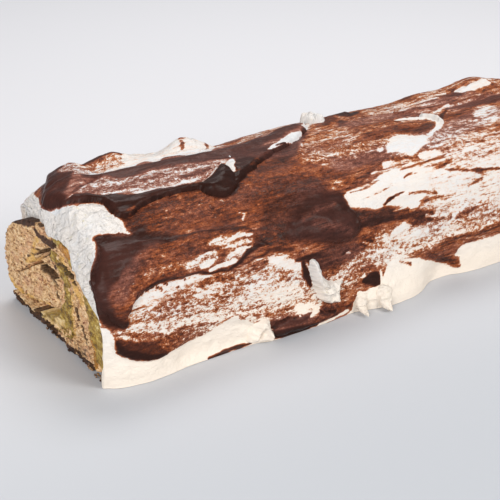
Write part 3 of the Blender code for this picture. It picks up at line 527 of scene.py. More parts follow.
def streaks(along, around):
    """The furrows that the palette knife left, in mm."""
    broad = layered(along / 34 + around / 60, around / 5 + along / 80, 31, 3)
    fine = layered(along / 12, around / 1.9 + along / 45, 37, 3)
    return 0.34 * broad + 0.12 * fine


def lumps(along, around):
    """The soft lumps of the cream, in mm."""
    return 0.5 * layered(along / 7, around / 6, 41, 3) + 0.16 * layered(along / 2.2, around / 2.0, 47, 2)


def crumbling(along, around):
    """Torn cream: sharp little crests and pits, in mm."""
    crest = 1 - np.abs(layered(along / 4.6 + 3, around / 3.8, 111, 3)) * 1.6
    pits = np.clip(noise(along / 1.9, around / 1.6, 117) - 0.2, 0, 1)
    return 0.75 * crest - 0.9 * pits + 0.22 * noise(along / 1.3, around / 1.3, 119)


def surface_relief(along, around, film):
    """The height of the coat's relief, in mm: furrows where chocolate is wiped, lumps where cream is bare."""
    bare = eased(0.5 - film / 0.3)
    height = streaks(along, around) * (1 - 0.6 * bare) + lumps(along, around) * (0.35 + 0.65 * bare)
    height += 0.32 * eased(film / 0.5) + creased(along, around, RIDGES)
    flaked = 0.28 * layered(along / 3.2, around / 2.2, 121, 3) * shares(DOTS, along, around) * (1 - bare)
    return height + flaked + bare * shares(CRUMBLE, along, around) * crumbling(along, around)


# The coat's surface


def section_line(fine=1440):
    """The plain section, from the front foot to the back foot: y, z and the way around."""
    t = np.linspace(0, math.pi, fine + 1)
    y = -np.sign(np.cos(t)) * np.abs(np.cos(t)) ** (2 / ROUNDNESS) * WIDTH / 2
    z = SHOULDER + np.abs(np.sin(t)) ** (2 / ROUNDNESS) * (HEIGHT - SHOULDER)
    y, z = np.concatenate([[y[0]], y, [y[-1]]]), np.concatenate([[0], z, [0]])
    around = np.concatenate([[0], np.cumsum(np.hypot(np.diff(y), np.diff(z)))])
    return y, z, around


SECTION_Y, SECTION_Z, SECTION_AROUND = section_line()
GIRTH = SECTION_AROUND[-1]


def section_at(around):
    """The plain section's y, z and outward normal."""
    place = np.clip(around, 0, GIRTH)
    y, z = (np.interp(place, SECTION_AROUND, v) for v in (SECTION_Y, SECTION_Z))
    step = 0.8
    before, after = np.clip(place - step, 0, GIRTH), np.clip(place + step, 0, GIRTH)
    ty = np.interp(after, SECTION_AROUND, SECTION_Y) - np.interp(before, SECTION_AROUND, SECTION_Y)
    tz = np.interp(after, SECTION_AROUND, SECTION_Z) - np.interp(before, SECTION_AROUND, SECTION_Z)
    length = np.hypot(ty, tz)
    return y, z, -tz / length, ty / length


def eased_rows(rows, at):
    """The value at a place in (place, value) rows, eased from each row to the next."""
    places, values = (np.array(column, float) for column in zip(*rows))
    k = np.clip(np.searchsorted(places, at) - 1, 0, len(places) - 2)
    share = eased((at - places[k]) / (places[k + 1] - places[k]))
    return values[k] + (values[k + 1] - values[k]) * share


def recess(along, around):
    """How far the coat is set back towards the near end, where its edge stands back."""
    return eased_rows(NEAR_RECESS, around) * np.clip(1 - along / RECESS_REACH, 0, 1) ** 2


def rounding(along, around):
    """How far the torn upper edge of the cream is rounded back at the near end."""
    inset, reach = 3.0, 8
    across = eased((around - 48) / 10) * eased((101 - around) / 9)
    return inset * across * np.clip(1 - along / reach, 0, 1) ** 2


def lines(*stretches):
    """Grid lines over (from, to, step) stretches."""
    made = [np.linspace(a, b, round((b - a) / step), endpoint=False) for a, b, step in stretches]
    return np.concatenate([*made, [stretches[-1][1]]])


COARSE = 1.0
ALONG = lines((0, 140, 0.7 * COARSE), (140, LENGTH, 1.15 * COARSE))
AROUND = lines((0, 128, 0.7 * COARSE), (128, GIRTH, 1.4 * COARSE))
GRID_A, GRID_B = np.meshgrid(ALONG, AROUND, indexing="ij")


def cad_tree(node):
    """A node's solid, for casting rays at it."""
    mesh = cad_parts[node].data
    points = [v.co / MM for v in mesh.vertices]
    return BVHTree.FromPolygons(points, [p.vertices for p in mesh.polygons])


def blurred(values, reach):
    """A grid of values smoothed over its neighbours, up to a reach of cells."""
    kernel = np.exp(-((np.arange(-reach, reach + 1) / (0.5 * reach)) ** 2))
    kernel /= kernel.sum()
    for axis in (0, 1):
        padded = np.pad(values, [(reach, reach) if k == axis else (0, 0) for k in (0, 1)], mode="edge")
        values = np.apply_along_axis(lambda row: np.convolve(row, kernel, "valid"), axis, padded)
    return values


def measured_height():
    """Height of the CAD coat over its plain section, with the facets smoothed away."""
    tree = cad_tree("cream_coat")
    sparse_a, sparse_b = np.linspace(0, LENGTH, 151), np.linspace(0, GIRTH, 112)
    y, z, ny, nz = section_at(sparse_b)
    heights = np.zeros((len(sparse_a), len(sparse_b)))
    reach, clear_of_ends = 20.0, 0.3
    for i, along in enumerate(sparse_a):
        inner = min(max(along, clear_of_ends), LENGTH - clear_of_ends)
        for j, around in enumerate(sparse_b):
            x = NEAR_X + inner + float(recess(inner, around))
            start = Vector((x, y[j] + AXIS_Y + ny[j] * reach, max(z[j], 0.05) + nz[j] * reach))
            hit = tree.ray_cast(start, Vector((0, -ny[j], -nz[j])), 2 * reach)
            heights[i, j] = reach - hit[3] if hit[0] else np.nan
    for rows in (heights, heights[::-1]):
        for missed, found in zip(rows[1::-1], rows[2:0:-1]):
            missed[:] = np.where(np.isnan(missed), found, missed)
    heights = blurred(np.nan_to_num(heights), 3)
    return sparse_a, sparse_b, heights


SPARSE_A, SPARSE_B, SPARSE_HEIGHT = measured_height()


def grid_value(values, lines_a, lines_b, a, b):
    """Bilinear reading of a grid of values at places."""
    i = np.clip(np.searchsorted(lines_a, a, "right") - 1, 0, len(lines_a) - 2)
    j = np.clip(np.searchsorted(lines_b, b, "right") - 1, 0, len(lines_b) - 2)
    u = np.clip((a - lines_a[i]) / (lines_a[i + 1] - lines_a[i]), 0, 1)
    v = np.clip((b - lines_b[j]) / (lines_b[j + 1] - lines_b[j]), 0, 1)
    if values.ndim == 3:
        u, v = u[..., None], v[..., None]
    low = values[i, j] * (1 - u) + values[i + 1, j] * u
    high = values[i, j + 1] * (1 - u) + values[i + 1, j + 1] * u
    return low * (1 - v) + high * v


def coat_points(along, around, height):
    """Points at a height over the plain section."""
    y, z, ny, nz = section_at(around)
    x = NEAR_X + along + recess(along, around) + rounding(along, around)
    height = height - 0.6 * rounding(along, around)
    return np.stack([x, y + AXIS_Y + ny * height, z + nz * height], -1)


def coat_height():
    """The height of the coat's grid: just under the CAD coat's, with a relief that is calmer at the feet."""
    under, lift, foot_reach, foot_share = 0.5, 0.3, 5, 0.25
    base = grid_value(SPARSE_HEIGHT, SPARSE_A, SPARSE_B, GRID_A, GRID_B)
    calm = eased(np.minimum(GRID_B, GIRTH - GRID_B) / foot_reach)
    relief = lift + surface_relief(GRID_A, GRID_B, FILM)
    return base - under + relief * (foot_share + (1 - foot_share) * calm)


FILM, GRAIN = painted(GRID_A, GRID_B)
COAT_HEIGHT = coat_height()


# Meshes


def srgb(*levels):
    """A linear colour from three sRGB levels of 0 to 255."""
    shares_of_full = (level / 255 for level in levels)
    return (*(c / 12.92 if c < 0.0404 else ((c + 0.055) / 1.055) ** 2.4 for c in shares_of_full), 1.0)


def new_piece(name, points, faces, material, slot, nodes=(), **attributes):
    """A closed piece from points in mm, held inside the CAD box, with a value for each point."""
    faces = [np.asarray(block, np.int64) for block in faces if len(block)]
    used = np.unique(np.concatenate([block.ravel() for block in faces]))
    renumber = np.full(len(points), -1)
    renumber[used] = np.arange(len(used))
    low, high = (np.array(corner) / MM for corner in CAD_BOX)
    margin = 0.02
    places = np.clip(points[used], low + margin, high - margin) * MM
    polygons = [polygon for block in faces for polygon in renumber[block].tolist()]
    mesh = bpy.data.meshes.new(name)
    mesh.from_pydata(places.tolist(), [], polygons)
    mesh.update()
    if signed_volume(mesh) < 0:
        mesh.flip_normals()
    mesh.shade_smooth()
    for key, values in attributes.items():
        values = np.asarray(values, float)[used]
        if values.ndim == 1:
            mesh.attributes.new(key, "FLOAT", "POINT").data.foreach_set("value", values)
        else:
            mesh.attributes.new(key, "FLOAT_VECTOR", "POINT").data.foreach_set("vector", values.ravel())
    mesh.materials.append(material)
    piece = bpy.data.objects.new(name, mesh)
    bpy.context.scene.collection.objects.link(piece)
    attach(piece, "root")
    if nodes:
        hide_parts(*nodes)
    return piece


def signed_volume(mesh):
    """Six times the volume inside a closed mesh; negative if its faces point inwards."""
    mesh.calc_loop_triangles()
    corners = np.zeros(len(mesh.loop_triangles) * 3, np.int32)
    mesh.loop_triangles.foreach_get("vertices", corners)
    places = np.zeros(len(mesh.vertices) * 3)
    mesh.vertices.foreach_get("co", places)
    a, b, c = places.reshape(-1, 3)[corners.reshape(-1, 3)].transpose(1, 0, 2)
    return float(np.einsum("ij,ij->i", a, np.cross(b, c)).sum())


def grid_faces(number, keep=None):
    """Quads over a grid of point numbers."""
    quads = np.stack([number[:-1, :-1], number[1:, :-1], number[1:, 1:], number[:-1, 1:]], -1)
    return quads[keep] if keep is not None else quads.reshape(-1, 4)


def closed_sheet(top, bottom, keep):
    """Points and faces of a sheet between two grids, over the cells that are kept."""
    rows, columns = top.shape[:2]
    upper = np.arange(rows * columns).reshape(rows, columns)
    lower = upper + rows * columns
    framed = np.pad(keep, 1)
    walls = []
    sides = ((-1, 0, (0, 1), (0, 0)), (1, 0, (1, 0), (1, 1)), (0, -1, (0, 0), (1, 0)), (0, 1, (1, 1), (0, 1)))
    for di, dj, p, q in sides:
        open_side = keep & ~framed[1 + di : 1 + di + rows - 1, 1 + dj : 1 + dj + columns - 1]
        i, j = np.nonzero(open_side)
        walls.append(np.stack([upper[i + p[0], j + p[1]], upper[i + q[0], j + q[1]],
                               lower[i + q[0], j + q[1]], lower[i + p[0], j + p[1]]], -1)[:, ::-1])
    points = np.concatenate([top.reshape(-1, 3), bottom.reshape(-1, 3)])
    return points, [grid_faces(upper, keep), grid_faces(lower, keep)[:, ::-1], *walls]


# Materials


class Shader:
    """A node material that is built one call at a time."""

    def __init__(self, name):
        self.material = bpy.data.materials.new(name)
        self.material.use_nodes = True
        self.tree = self.material.node_tree
        self.out = self.tree.nodes["Principled BSDF"]

    def add(self, kind, values=(), **settings):
        node = self.tree.nodes.new(kind)
        for key, value in settings.items():
            setattr(node, key, value)
        for socket, value in dict(values).items():
            self.plug(node.inputs[socket], value)
        return node

    def plug(self, socket, value):
        if isinstance(value, bpy.types.NodeSocket):
            self.tree.links.new(value, socket)
        else:
            socket.default_value = value

    def set(self, **values):
        for name, value in values.items():
            self.plug(self.out.inputs[name.replace("_", " ")], value)

    def attribute(self, name, vector=False):
        return self.add("ShaderNodeAttribute", attribute_name=name).outputs["Vector" if vector else "Fac"]

    def math(self, operation, a, b=0.0, clamp=False):
        return self.add("ShaderNodeMath", {0: a, 1: b}, operation=operation, use_clamp=clamp).outputs[0]

    def times(self, a, b):
        return self.math("MULTIPLY", a, b)

    def plus(self, a, b):
        return self.math("ADD", a, b)

    def stretched(self, vector, scale):
        return self.add("ShaderNodeVectorMath", {0: vector, 1: scale}, operation="MULTIPLY").outputs[0]

    def noise(self, vector, scale, detail=3.0, rough=0.5):
        """Noise about 0, with so many waves per mm along each axis."""
        made = self.add("ShaderNodeTexNoise", {"Vector": self.stretched(vector, scale), "Scale": 1.0,
                                               "Detail": detail, "Roughness": rough}).outputs["Fac"]
        return self.math("SUBTRACT", made, 0.5)

    def span(self, value, low, high, to_low=0.0, to_high=1.0):
        """A smooth step from to_low to to_high as the value goes from low to high."""
        return self.add("ShaderNodeMapRange", {"Value": value, "From Min": low, "From Max": high,
                                               "To Min": to_low, "To Max": to_high},
                        interpolation_type="SMOOTHSTEP").outputs[0]

    def mix(self, share, a, b):
        node = self.add("ShaderNodeMix", data_type="RGBA")
        for index, value in ((0, share), (6, a), (7, b)):
            self.plug(node.inputs[index], value)
        return node.outputs[2]

    def ramp(self, value, stops):
        """The colour at a value, from (place, colour) stops."""
        node = self.add("ShaderNodeValToRGB", {"Fac": value})
        bar = node.color_ramp
        while len(bar.elements) < len(stops):
            bar.elements.new(0.5)
        for element, (place, colour) in zip(bar.elements, stops):
            element.position, element.color = place, colour
        return node.outputs[0]

    def bump(self, height, distance, strength):
        values = {"Height": height, "Distance": distance, "Strength": strength}
        return self.add("ShaderNodeBump", values).outputs[0]


FILM_LOW, FILM_HIGH = -0.2, 1.2  # the span of film that the coating's colours cover


def film_stops(*stops):
    """Stops of a colour ramp over the span of film, from (film, sRGB levels) stops."""
    return [((film - FILM_LOW) / (FILM_HIGH - FILM_LOW), srgb(*colour)) for film, colour in stops]


def coating_material(name):
    """Cream and chocolate: the film attribute, roughened by streaks and flakes, picks the colour."""
    s = Shader(name)
    flow, film, grain = s.attribute("flow", True), s.attribute("film"), s.attribute("grain")
    dots, torn, mauve = s.attribute("dots"), s.attribute("torn"), s.attribute("mauve")
    streak = s.noise(flow, (0.13, 0.8, 1), 6, 0.65)
    flakes = s.noise(flow, (0.4, 0.66, 1), 5, 0.6)
    grit = s.noise(flow, (1.2, 1.7, 1), 3, 0.7)
    scratch = s.noise(flow, (0.09, 2.3, 1), 3, 0.6)
    blotch = s.plus(s.noise(flow, (0.05, 0.11, 1), 3, 0.5), s.noise(flow, (0.3, 0.6, 1), 4, 0.7))
    combed = s.plus(s.times(streak, 1.9), s.plus(s.times(scratch, 0.9), s.times(flakes, 1.5)))
    flaked = s.plus(s.times(flakes, 4.2), s.plus(s.times(grit, 1.4), s.times(streak, 0.5)))
    flaked = s.math("MINIMUM", flaked, s.times(flaked, 0.45))
    rough = s.plus(s.times(combed, s.math("SUBTRACT", 1.0, dots)), s.times(flaked, dots))
    rough = s.math("MAXIMUM", rough, s.times(rough, 0.6))
    near_edge = s.span(s.math("ABSOLUTE", s.plus(film, 0.05)), 0.35, 0.1, 0, 0.5)
    uneven = s.math("MAXIMUM", grain, near_edge)
    shown = s.plus(film, s.times(rough, uneven))
    shown = s.plus(shown, s.times(grit, s.plus(0.15, s.times(grain, 0.75))))
    fraction = s.math("DIVIDE", s.math("SUBTRACT", shown, FILM_LOW), FILM_HIGH - FILM_LOW, clamp=True)
    warm = s.ramp(fraction, film_stops(
        (-0.08, (225, 219, 213)), (0.01, (218, 194, 177)), (0.08, (206, 150, 110)), (0.2, (172, 98, 56)),
        (0.4, (124, 62, 34)), (0.62, (78, 39, 25)), (0.84, (51, 26, 19)), (1.08, (39, 21, 16))))
    cool = s.ramp(fraction, film_stops(
        (-0.08, (218, 219, 221)), (0.01, (212, 190, 180)), (0.08, (192, 152, 136)), (0.2, (158, 107, 91)),
        (0.4, (120, 74, 62)), (0.62, (94, 55, 46)), (0.86, (70, 40, 34)), (1.08, (48, 28, 24))))
    # the mauve share mixes in the cooler colours: partly the chocolate's own tint, partly painted sheen
    colour = s.mix(s.math("ADD", mauve, s.plus(0.2, s.times(blotch, 1.7)), clamp=True), warm, cool)
    smeared = s.span(shown, -0.02, 0.12)
    fleck = s.span(s.noise(flow, (0.45, 1.5, 1), 5, 0.7), 0.13, 0.2)
    fleck = s.times(s.times(fleck, s.span(grain, 0.2, 0.8)), smeared)
    fleck = s.times(fleck, s.span(film, 0.75, 0.35, 0, 0.8))
    colour = s.mix(fleck, colour, srgb(226, 200, 182))
    soot = s.span(s.noise(flow, (0.7, 1.2, 1), 5, 0.75), 0.1, 0.2)
    soot = s.times(s.times(soot, s.span(grain, 0.3, 0.9)), smeared)
    soot = s.times(soot, s.span(dots, 0.0, 1.0, 0.75, 0.35))
    colour = s.mix(soot, colour, srgb(58, 35, 28))
    bare = s.span(shown, 0.1, 0.0)
    faint = s.span(s.plus(streak, s.times(flakes, 0.8)), -0.08, 0.22, 0, 0.7)
    faint = s.times(s.times(faint, s.span(grain, 0.2, 0.8)), bare)
    colour = s.mix(faint, colour, srgb(226, 200, 184))
    # painted warm light: bare cream near the foot is tinted warm, as by warm light reflected up from below
    way_around = s.add("ShaderNodeSeparateXYZ", {0: flow}).outputs[1]
    foot = s.times(s.span(way_around, 34, 4), bare)
    colour = s.mix(s.times(foot, 0.85), colour, srgb(240, 228, 213))
    crumbs = s.span(s.noise(flow, (0.36, 0.42, 1), 4, 0.6), 0.09, 0.2, 0, 0.55)
    colour = s.mix(s.times(s.times(crumbs, torn), bare), colour, srgb(212, 202, 158))
    dark = s.span(shown, 0.55, 0.95)
    wet = s.noise(flow, (0.12, 0.3, 1), 3, 0.6)
    roughness = s.plus(s.span(shown, -0.02, 0.9, 0.65, 0.36), s.times(wet, 0.35))
    thickness = s.span(shown, -0.06, 0.35)
    crumbly = s.noise(flow, (0.8, 0.95, 1), 2, 0.45)
    flaky = s.noise(flow, (0.55, 0.9, 1), 2, 0.5)
    calm = s.span(dark, 0.0, 1.0, 1.0, 0.3)
    height = s.times(s.plus(s.times(crumbly, 0.4), s.times(flaky, s.times(grain, 0.7))), calm)
    height = s.plus(height, s.times(thickness, 0.16))
    height = s.plus(height, s.times(s.times(s.noise(flow, (0.3, 0.36, 0.34), 2, 0.45), torn), 3.2))
    s.set(Base_Color=colour, Roughness=roughness, Normal=s.bump(height, 1.0 * MM, 0.9))
    s.out.inputs["Specular IOR Level"].default_value = 0.18
    s.out.inputs["IOR"].default_value = 1.35
    return s.material


COATING = coating_material("cream_and_chocolate")


def flow_of(along, around):
    """The coordinates that the coating's noises follow."""
    return np.stack([along, around, np.zeros_like(along)], -1)


# The coat: the outer skin, the rims round both cut ends, and a plain hollow inside


def hollow_ring(x):
    """The CAD coat's inner ring at an x, as (y, z) for each place around."""
    tree = cad_tree("cream_coat")
    y, z, _, _ = section_at(AROUND)
    centre = Vector((x, AXIS_Y, FACE_CENTRE[1]))
    past_skin, share_if_missed = 200, 0.9
    ring = []
    for outer_y, outer_z in zip(y, z):
        to_skin = Vector((0, outer_y + AXIS_Y - centre.y, max(outer_z, 0.1) - centre.z))
        hit = tree.ray_cast(centre, to_skin.normalized(), past_skin)
        reach = hit[3] if hit[0] else to_skin.length * share_if_missed
        spot = centre + to_skin.normalized() * reach
        ring.append((spot.y, spot.z))
    return np.array(ring)


# The edge of the cream round the near cut face, (y, z) about the log's axis, from the front foot
LIP = (
    (-45.5, -8), (-45.5, 2), (-46.5, 8), (-48, 14), (-49, 20), (-48.5, 26), (-45, 31), (-39.4, 33.5),
    (-34, 35.5), (-29, 38), (-26, 40.4), (-23.6, 44), (-22.6, 48), (-22, 51.4), (-15, 51), (-5, 50),
    (3, 49), (9, 48.4), (13, 50), (19, 48.6), (26, 46.4), (34, 43), (40, 39), (45, 33.5), (49, 26),
    (50.5, 18), (49.5, 10), (46.5, 2), (46, -8),
)
RIM_STEPS = 30  # rows of points from the outer edge of a cut end in to the lip
HOLLOW_INSET = 20  # how far from the ends the hollow is measured


def seen_from_centre(loop, towards):
    """Where the rays from the middle of the face towards some points cross a drawn line."""
    line = np.array(loop, float) - FACE_CENTRE
    angles = np.unwrap(np.arctan2(line[:, 1], -line[:, 0]))
    reach = np.linalg.norm(line, axis=1)
    heading = towards - FACE_CENTRE
    at = np.arctan2(heading[:, 1], -heading[:, 0])
    at = np.where(at < angles[0] - 0.5, at + 2 * math.pi, at)
    found = np.interp(at, angles, reach)
    return FACE_CENTRE + np.stack([-np.cos(at), np.sin(at)], -1) * found[:, None]


def rim_rows(outer, hollow, lip, lip_x, sign, seed):
    """Rows of points from the outer edge of a cut end in to the lip of the cream, then behind the lip."""
    axis = np.array([AXIS_Y, 0.0])
    inward = FACE_CENTRE - lip
    inward /= np.linalg.norm(inward, axis=1)[:, None]
    upper = eased((lip[:, 1] - 30) / 10)
    ragged = layered(AROUND / 3.2, AROUND * 0 + seed, seed, 4) * (0.3 + 0.9 * upper)
    lip = lip + inward * (0.5 + ragged)[:, None] + axis
    rows = []
    for k in range(1, RIM_STEPS + 1):
        t = k / RIM_STEPS
        place = outer[:, 1:] * (1 - t) + lip * t
        torn = eased((place[:, 1] - 31) / 7)
        uneven = 0.4 * (1 + layered(place[:, 0] / 5, place[:, 1] / 5, seed + 5, 3))
        rugged = np.clip(1.0 - 1.2 * crumbling(1.3 * place[:, 0] + 40, 1.3 * place[:, 1]), 0, 2.6)
        uneven += torn * rugged * (1 - 0.85 * eased((t - 0.55) / 0.25))
        share = eased(t * 2.2)
        start = outer[:, 0] * (1 - share) + lip_x * share
        x = start + sign * (uneven * eased(t * 3) + 0.8 * t**7)
        rows.append(np.stack([x, place[:, 0], place[:, 1]], -1))
    behind, deeper = 1.2, 1.5
    back = np.maximum(lip_x * sign, rows[-1][:, 0] * sign) * sign + sign * behind
    back_row = np.stack([back, lip[:, 0], lip[:, 1]], -1)
    return rows + [back_row, np.stack([back + sign * deeper, hollow[:, 0], hollow[:, 1]], -1)]


def build_coat():
    """The whole coat: its skin, the rims at both ends and the wall of its hollow."""
    skin = coat_points(GRID_A, GRID_B, COAT_HEIGHT)
    skin[..., 2] = np.maximum(skin[..., 2], 0)
    axis = np.array([AXIS_Y, 0.0])
    hollow = hollow_ring(NEAR_X + HOLLOW_INSET)
    lip = seen_from_centre(LIP, skin[0][:, 1:] - axis)
    lip_x = NEAR_X + recess(np.zeros(len(AROUND)), AROUND)
    near_rows = rim_rows(skin[0], hollow, lip, lip_x, 1, 61)
    far_hollow = hollow_ring(NEAR_X + LENGTH - HOLLOW_INSET)
    far_x = np.full(len(AROUND), NEAR_X + LENGTH)
    far_rows = rim_rows(skin[-1], far_hollow, far_hollow - axis, far_x, -1, 71)
    points = np.stack([*near_rows[::-1], *skin, *far_rows])
    points[:, 0, 2] = points[:, -1, 2] = 0
    points[..., 2] = np.maximum(points[..., 2], 0)
    count = len(near_rows)

    def with_rims(values, at_rims):
        """A field with the rims' value at both ends, but the skin's beside the near end's lower front."""
        near, far = np.full((2, count, len(AROUND)), at_rims)
        near[-4:] = np.where((AROUND > 26) & (AROUND < 49), values[0], at_rims)
        return np.concatenate([near, values, far])

    along = np.concatenate([-np.linalg.norm(near_rows - skin[0], axis=-1)[::-1], GRID_A,
                            LENGTH + np.linalg.norm(far_rows - skin[-1], axis=-1)])
    around = np.broadcast_to(AROUND, along.shape)
    torn = with_rims(shares(CRUMBLE, GRID_A, GRID_B), 0.9)
    torn = torn * eased((points[..., 2] - 28) / 8)
    number = np.arange(points.shape[0] * points.shape[1]).reshape(points.shape[:2])
    inner = np.stack([number[-1], number[0]])
    feet = [number[:, 0][None], number[::-1, -1][None]]
    faces = [grid_faces(number), grid_faces(inner), *feet]
    fields = {"film": with_rims(FILM, CREAM), "grain": with_rims(GRAIN, 0.1),
              "dots": with_rims(shares(DOTS, GRID_A, GRID_B), 0.0), "torn": torn,
              "mauve": with_rims(shares(MAUVE_AND_SHEEN, GRID_A, GRID_B), 0.0)}
    return new_piece("cream_coat_dressed", points.reshape(-1, 3), faces, COATING, "whipped_cream",
                     ("cream_coat",), flow=flow_of(along, around).reshape(-1, 3),
                     **{key: values.ravel() for key, values in fields.items()})


# Chocolate and cream patches that stand on the coat


def over_coat(along, around, height):
    """Points at a height over the coat."""
    base = grid_value(COAT_HEIGHT, ALONG, AROUND, along, around)
    return coat_points(along, around, base + height)


def add_patch(name, slot, thickness, edge, outline, shape=None, fade=None, rim=0.0, step=0.55, bare=False,
              tear=0.0, seed=0, node=True):
    """A patch with a rounded rim.

    shape(along, around, depth) is added to its height.  Where fade(along, around) is 0 the patch dives under
    the coat.  rim is the film of its darkened rim, tear is how crumbly it is, and bare means cream alone.
    """
    loop = smooth_loop(outline)
    step *= COARSE
    margin = 2.5
    a = np.arange(loop[:, 0].min() - margin, loop[:, 0].max() + margin, step)
    b = np.arange(loop[:, 1].min() - margin, loop[:, 1].max() + margin, step)
    along, around = np.meshgrid(a, b, indexing="ij")
    depth = outline_depth(*warped(along, around), loop)
    t = np.clip(depth / edge, 0, 1)
    body = thickness * np.sqrt(1 - (1 - t) ** 2) * (1 + 0.12 * layered(along / 9, around / 5, seed + 81, 2))
    if shape:
        body = body + shape(along, around, depth)
    if tear:
        body = body + tear * (crumbling(1.6 * along, 1.6 * around) - 0.3) * eased(depth / 0.9)
    if fade:
        shown = fade(along, around)
        body = body * shown - 0.45 * (1 - shown)
    top = np.where(depth > 0, body, 0) - 0.5 * eased(0.4 - depth / 0.5)
    keep = (depth > -1.0) & (top > -0.45)
    keep = keep[:-1, :-1] | keep[1:, :-1] | keep[1:, 1:] | keep[:-1, 1:]
    inside = (along > 0) & (along < LENGTH) & (around > 0) & (around < GIRTH)
    keep &= inside[:-1, :-1] & inside[1:, 1:]
    buried = 0.8
    upper = over_coat(along, around, top)
    lower = over_coat(along, around, np.minimum(top, 0) - buried)
    points, faces = closed_sheet(upper, lower, keep)
    points[:, 2] = np.maximum(points[:, 2], 0)
    if bare:
        film, grain, dots = np.full(along.shape, CREAM), np.full(along.shape, 0.1), np.zeros(along.shape)
    else:
        film, grain = painted(along, around)
        dark = np.maximum(film, rim * eased(1.2 - depth / 2.2))
        film = np.where(film > 0.2, dark, film)
        dots = shares(DOTS, along, around)
    torn = np.full(along.shape, 0.9 * min(1, 2 * tear))
    fields = {"film": film, "grain": grain, "dots": dots, "torn": torn, "mauve": shares(MAUVE_AND_SHEEN, along, around)}
    flow = flow_of(along, around).reshape(-1, 3)
    return new_piece(name + "_dressed", points, faces, COATING, slot, (name,) if node else (),
                     flow=np.concatenate([flow, flow]),
                     **{key: np.concatenate([v.ravel(), v.ravel()]) for key, v in fields.items()})


def knife_marks(along, around, depth):
    return 0.30 * layered(along / 18 + around / 40, around / 2.4 + along / 60, 91, 3) * eased(depth / 2)


def pool_folds(along, around, depth):
    swirl = np.sin(around / 2.4 + 2.2 * noise(along / 14, around / 9, 95) + along / 16)
    return 0.35 * swirl * eased(depth / 3) + 0.2 * layered(along / 7, around / 4, 97, 2)


def pool_form(along, around, depth):
    """The pool bulges low on its right, with a rim round the bulge and two folds."""
    bulge = 1.3 * np.exp(-(((along - 116) / 9) ** 2) - (((around - 44) / 6) ** 2))
    height = bulge + creased(along, around, (
        (0.4, 0.9, ((112, 38), (120, 36.8), (126, 40), (126.6, 45), (123, 49))),
        (0.6, 2.0, ((84, 52), (94, 49), (104, 50), (110, 47), (112, 42))),
        (0.4, 2.2, ((96, 62), (108, 60), (116, 56), (119, 51)))))
    return height + 0.3 * pool_folds(along, around, depth)


def pool_fade(along, around):
    return eased((along - 82 - 0.5 * (around - 45)) / 16) * eased((74 - around) / 14)


def lobe_fade(along, around):
    return eased((66 - along) / 40 + 0.3) * eased((64 - around) / 7)


def slab_form(along, around, depth):
    """The slab's thick lower edge, the ridge on top, its nose, the furrow round the nose and a groove."""
    return knife_marks(along, around, depth) + creased(along, around, (
        (0.7, 2.4, ((15, 87), (22, 80), (30, 78), (42, 79), (58, 78.8))),
        (1.0, 3.0, ((8, 103), (30, 101), (60, 98), (90, 98), (134, 108))),
        (1.7, 3.2, ((66, 74), (72, 76), (78, 84))),
        (-0.9, 1.2, ((64, 80), (72, 84), (78, 88), (82, 82), (78, 75))),
        (-1.0, 1.0, ((7, 91), (13, 93.6), (20, 97), (27, 100.4)))))


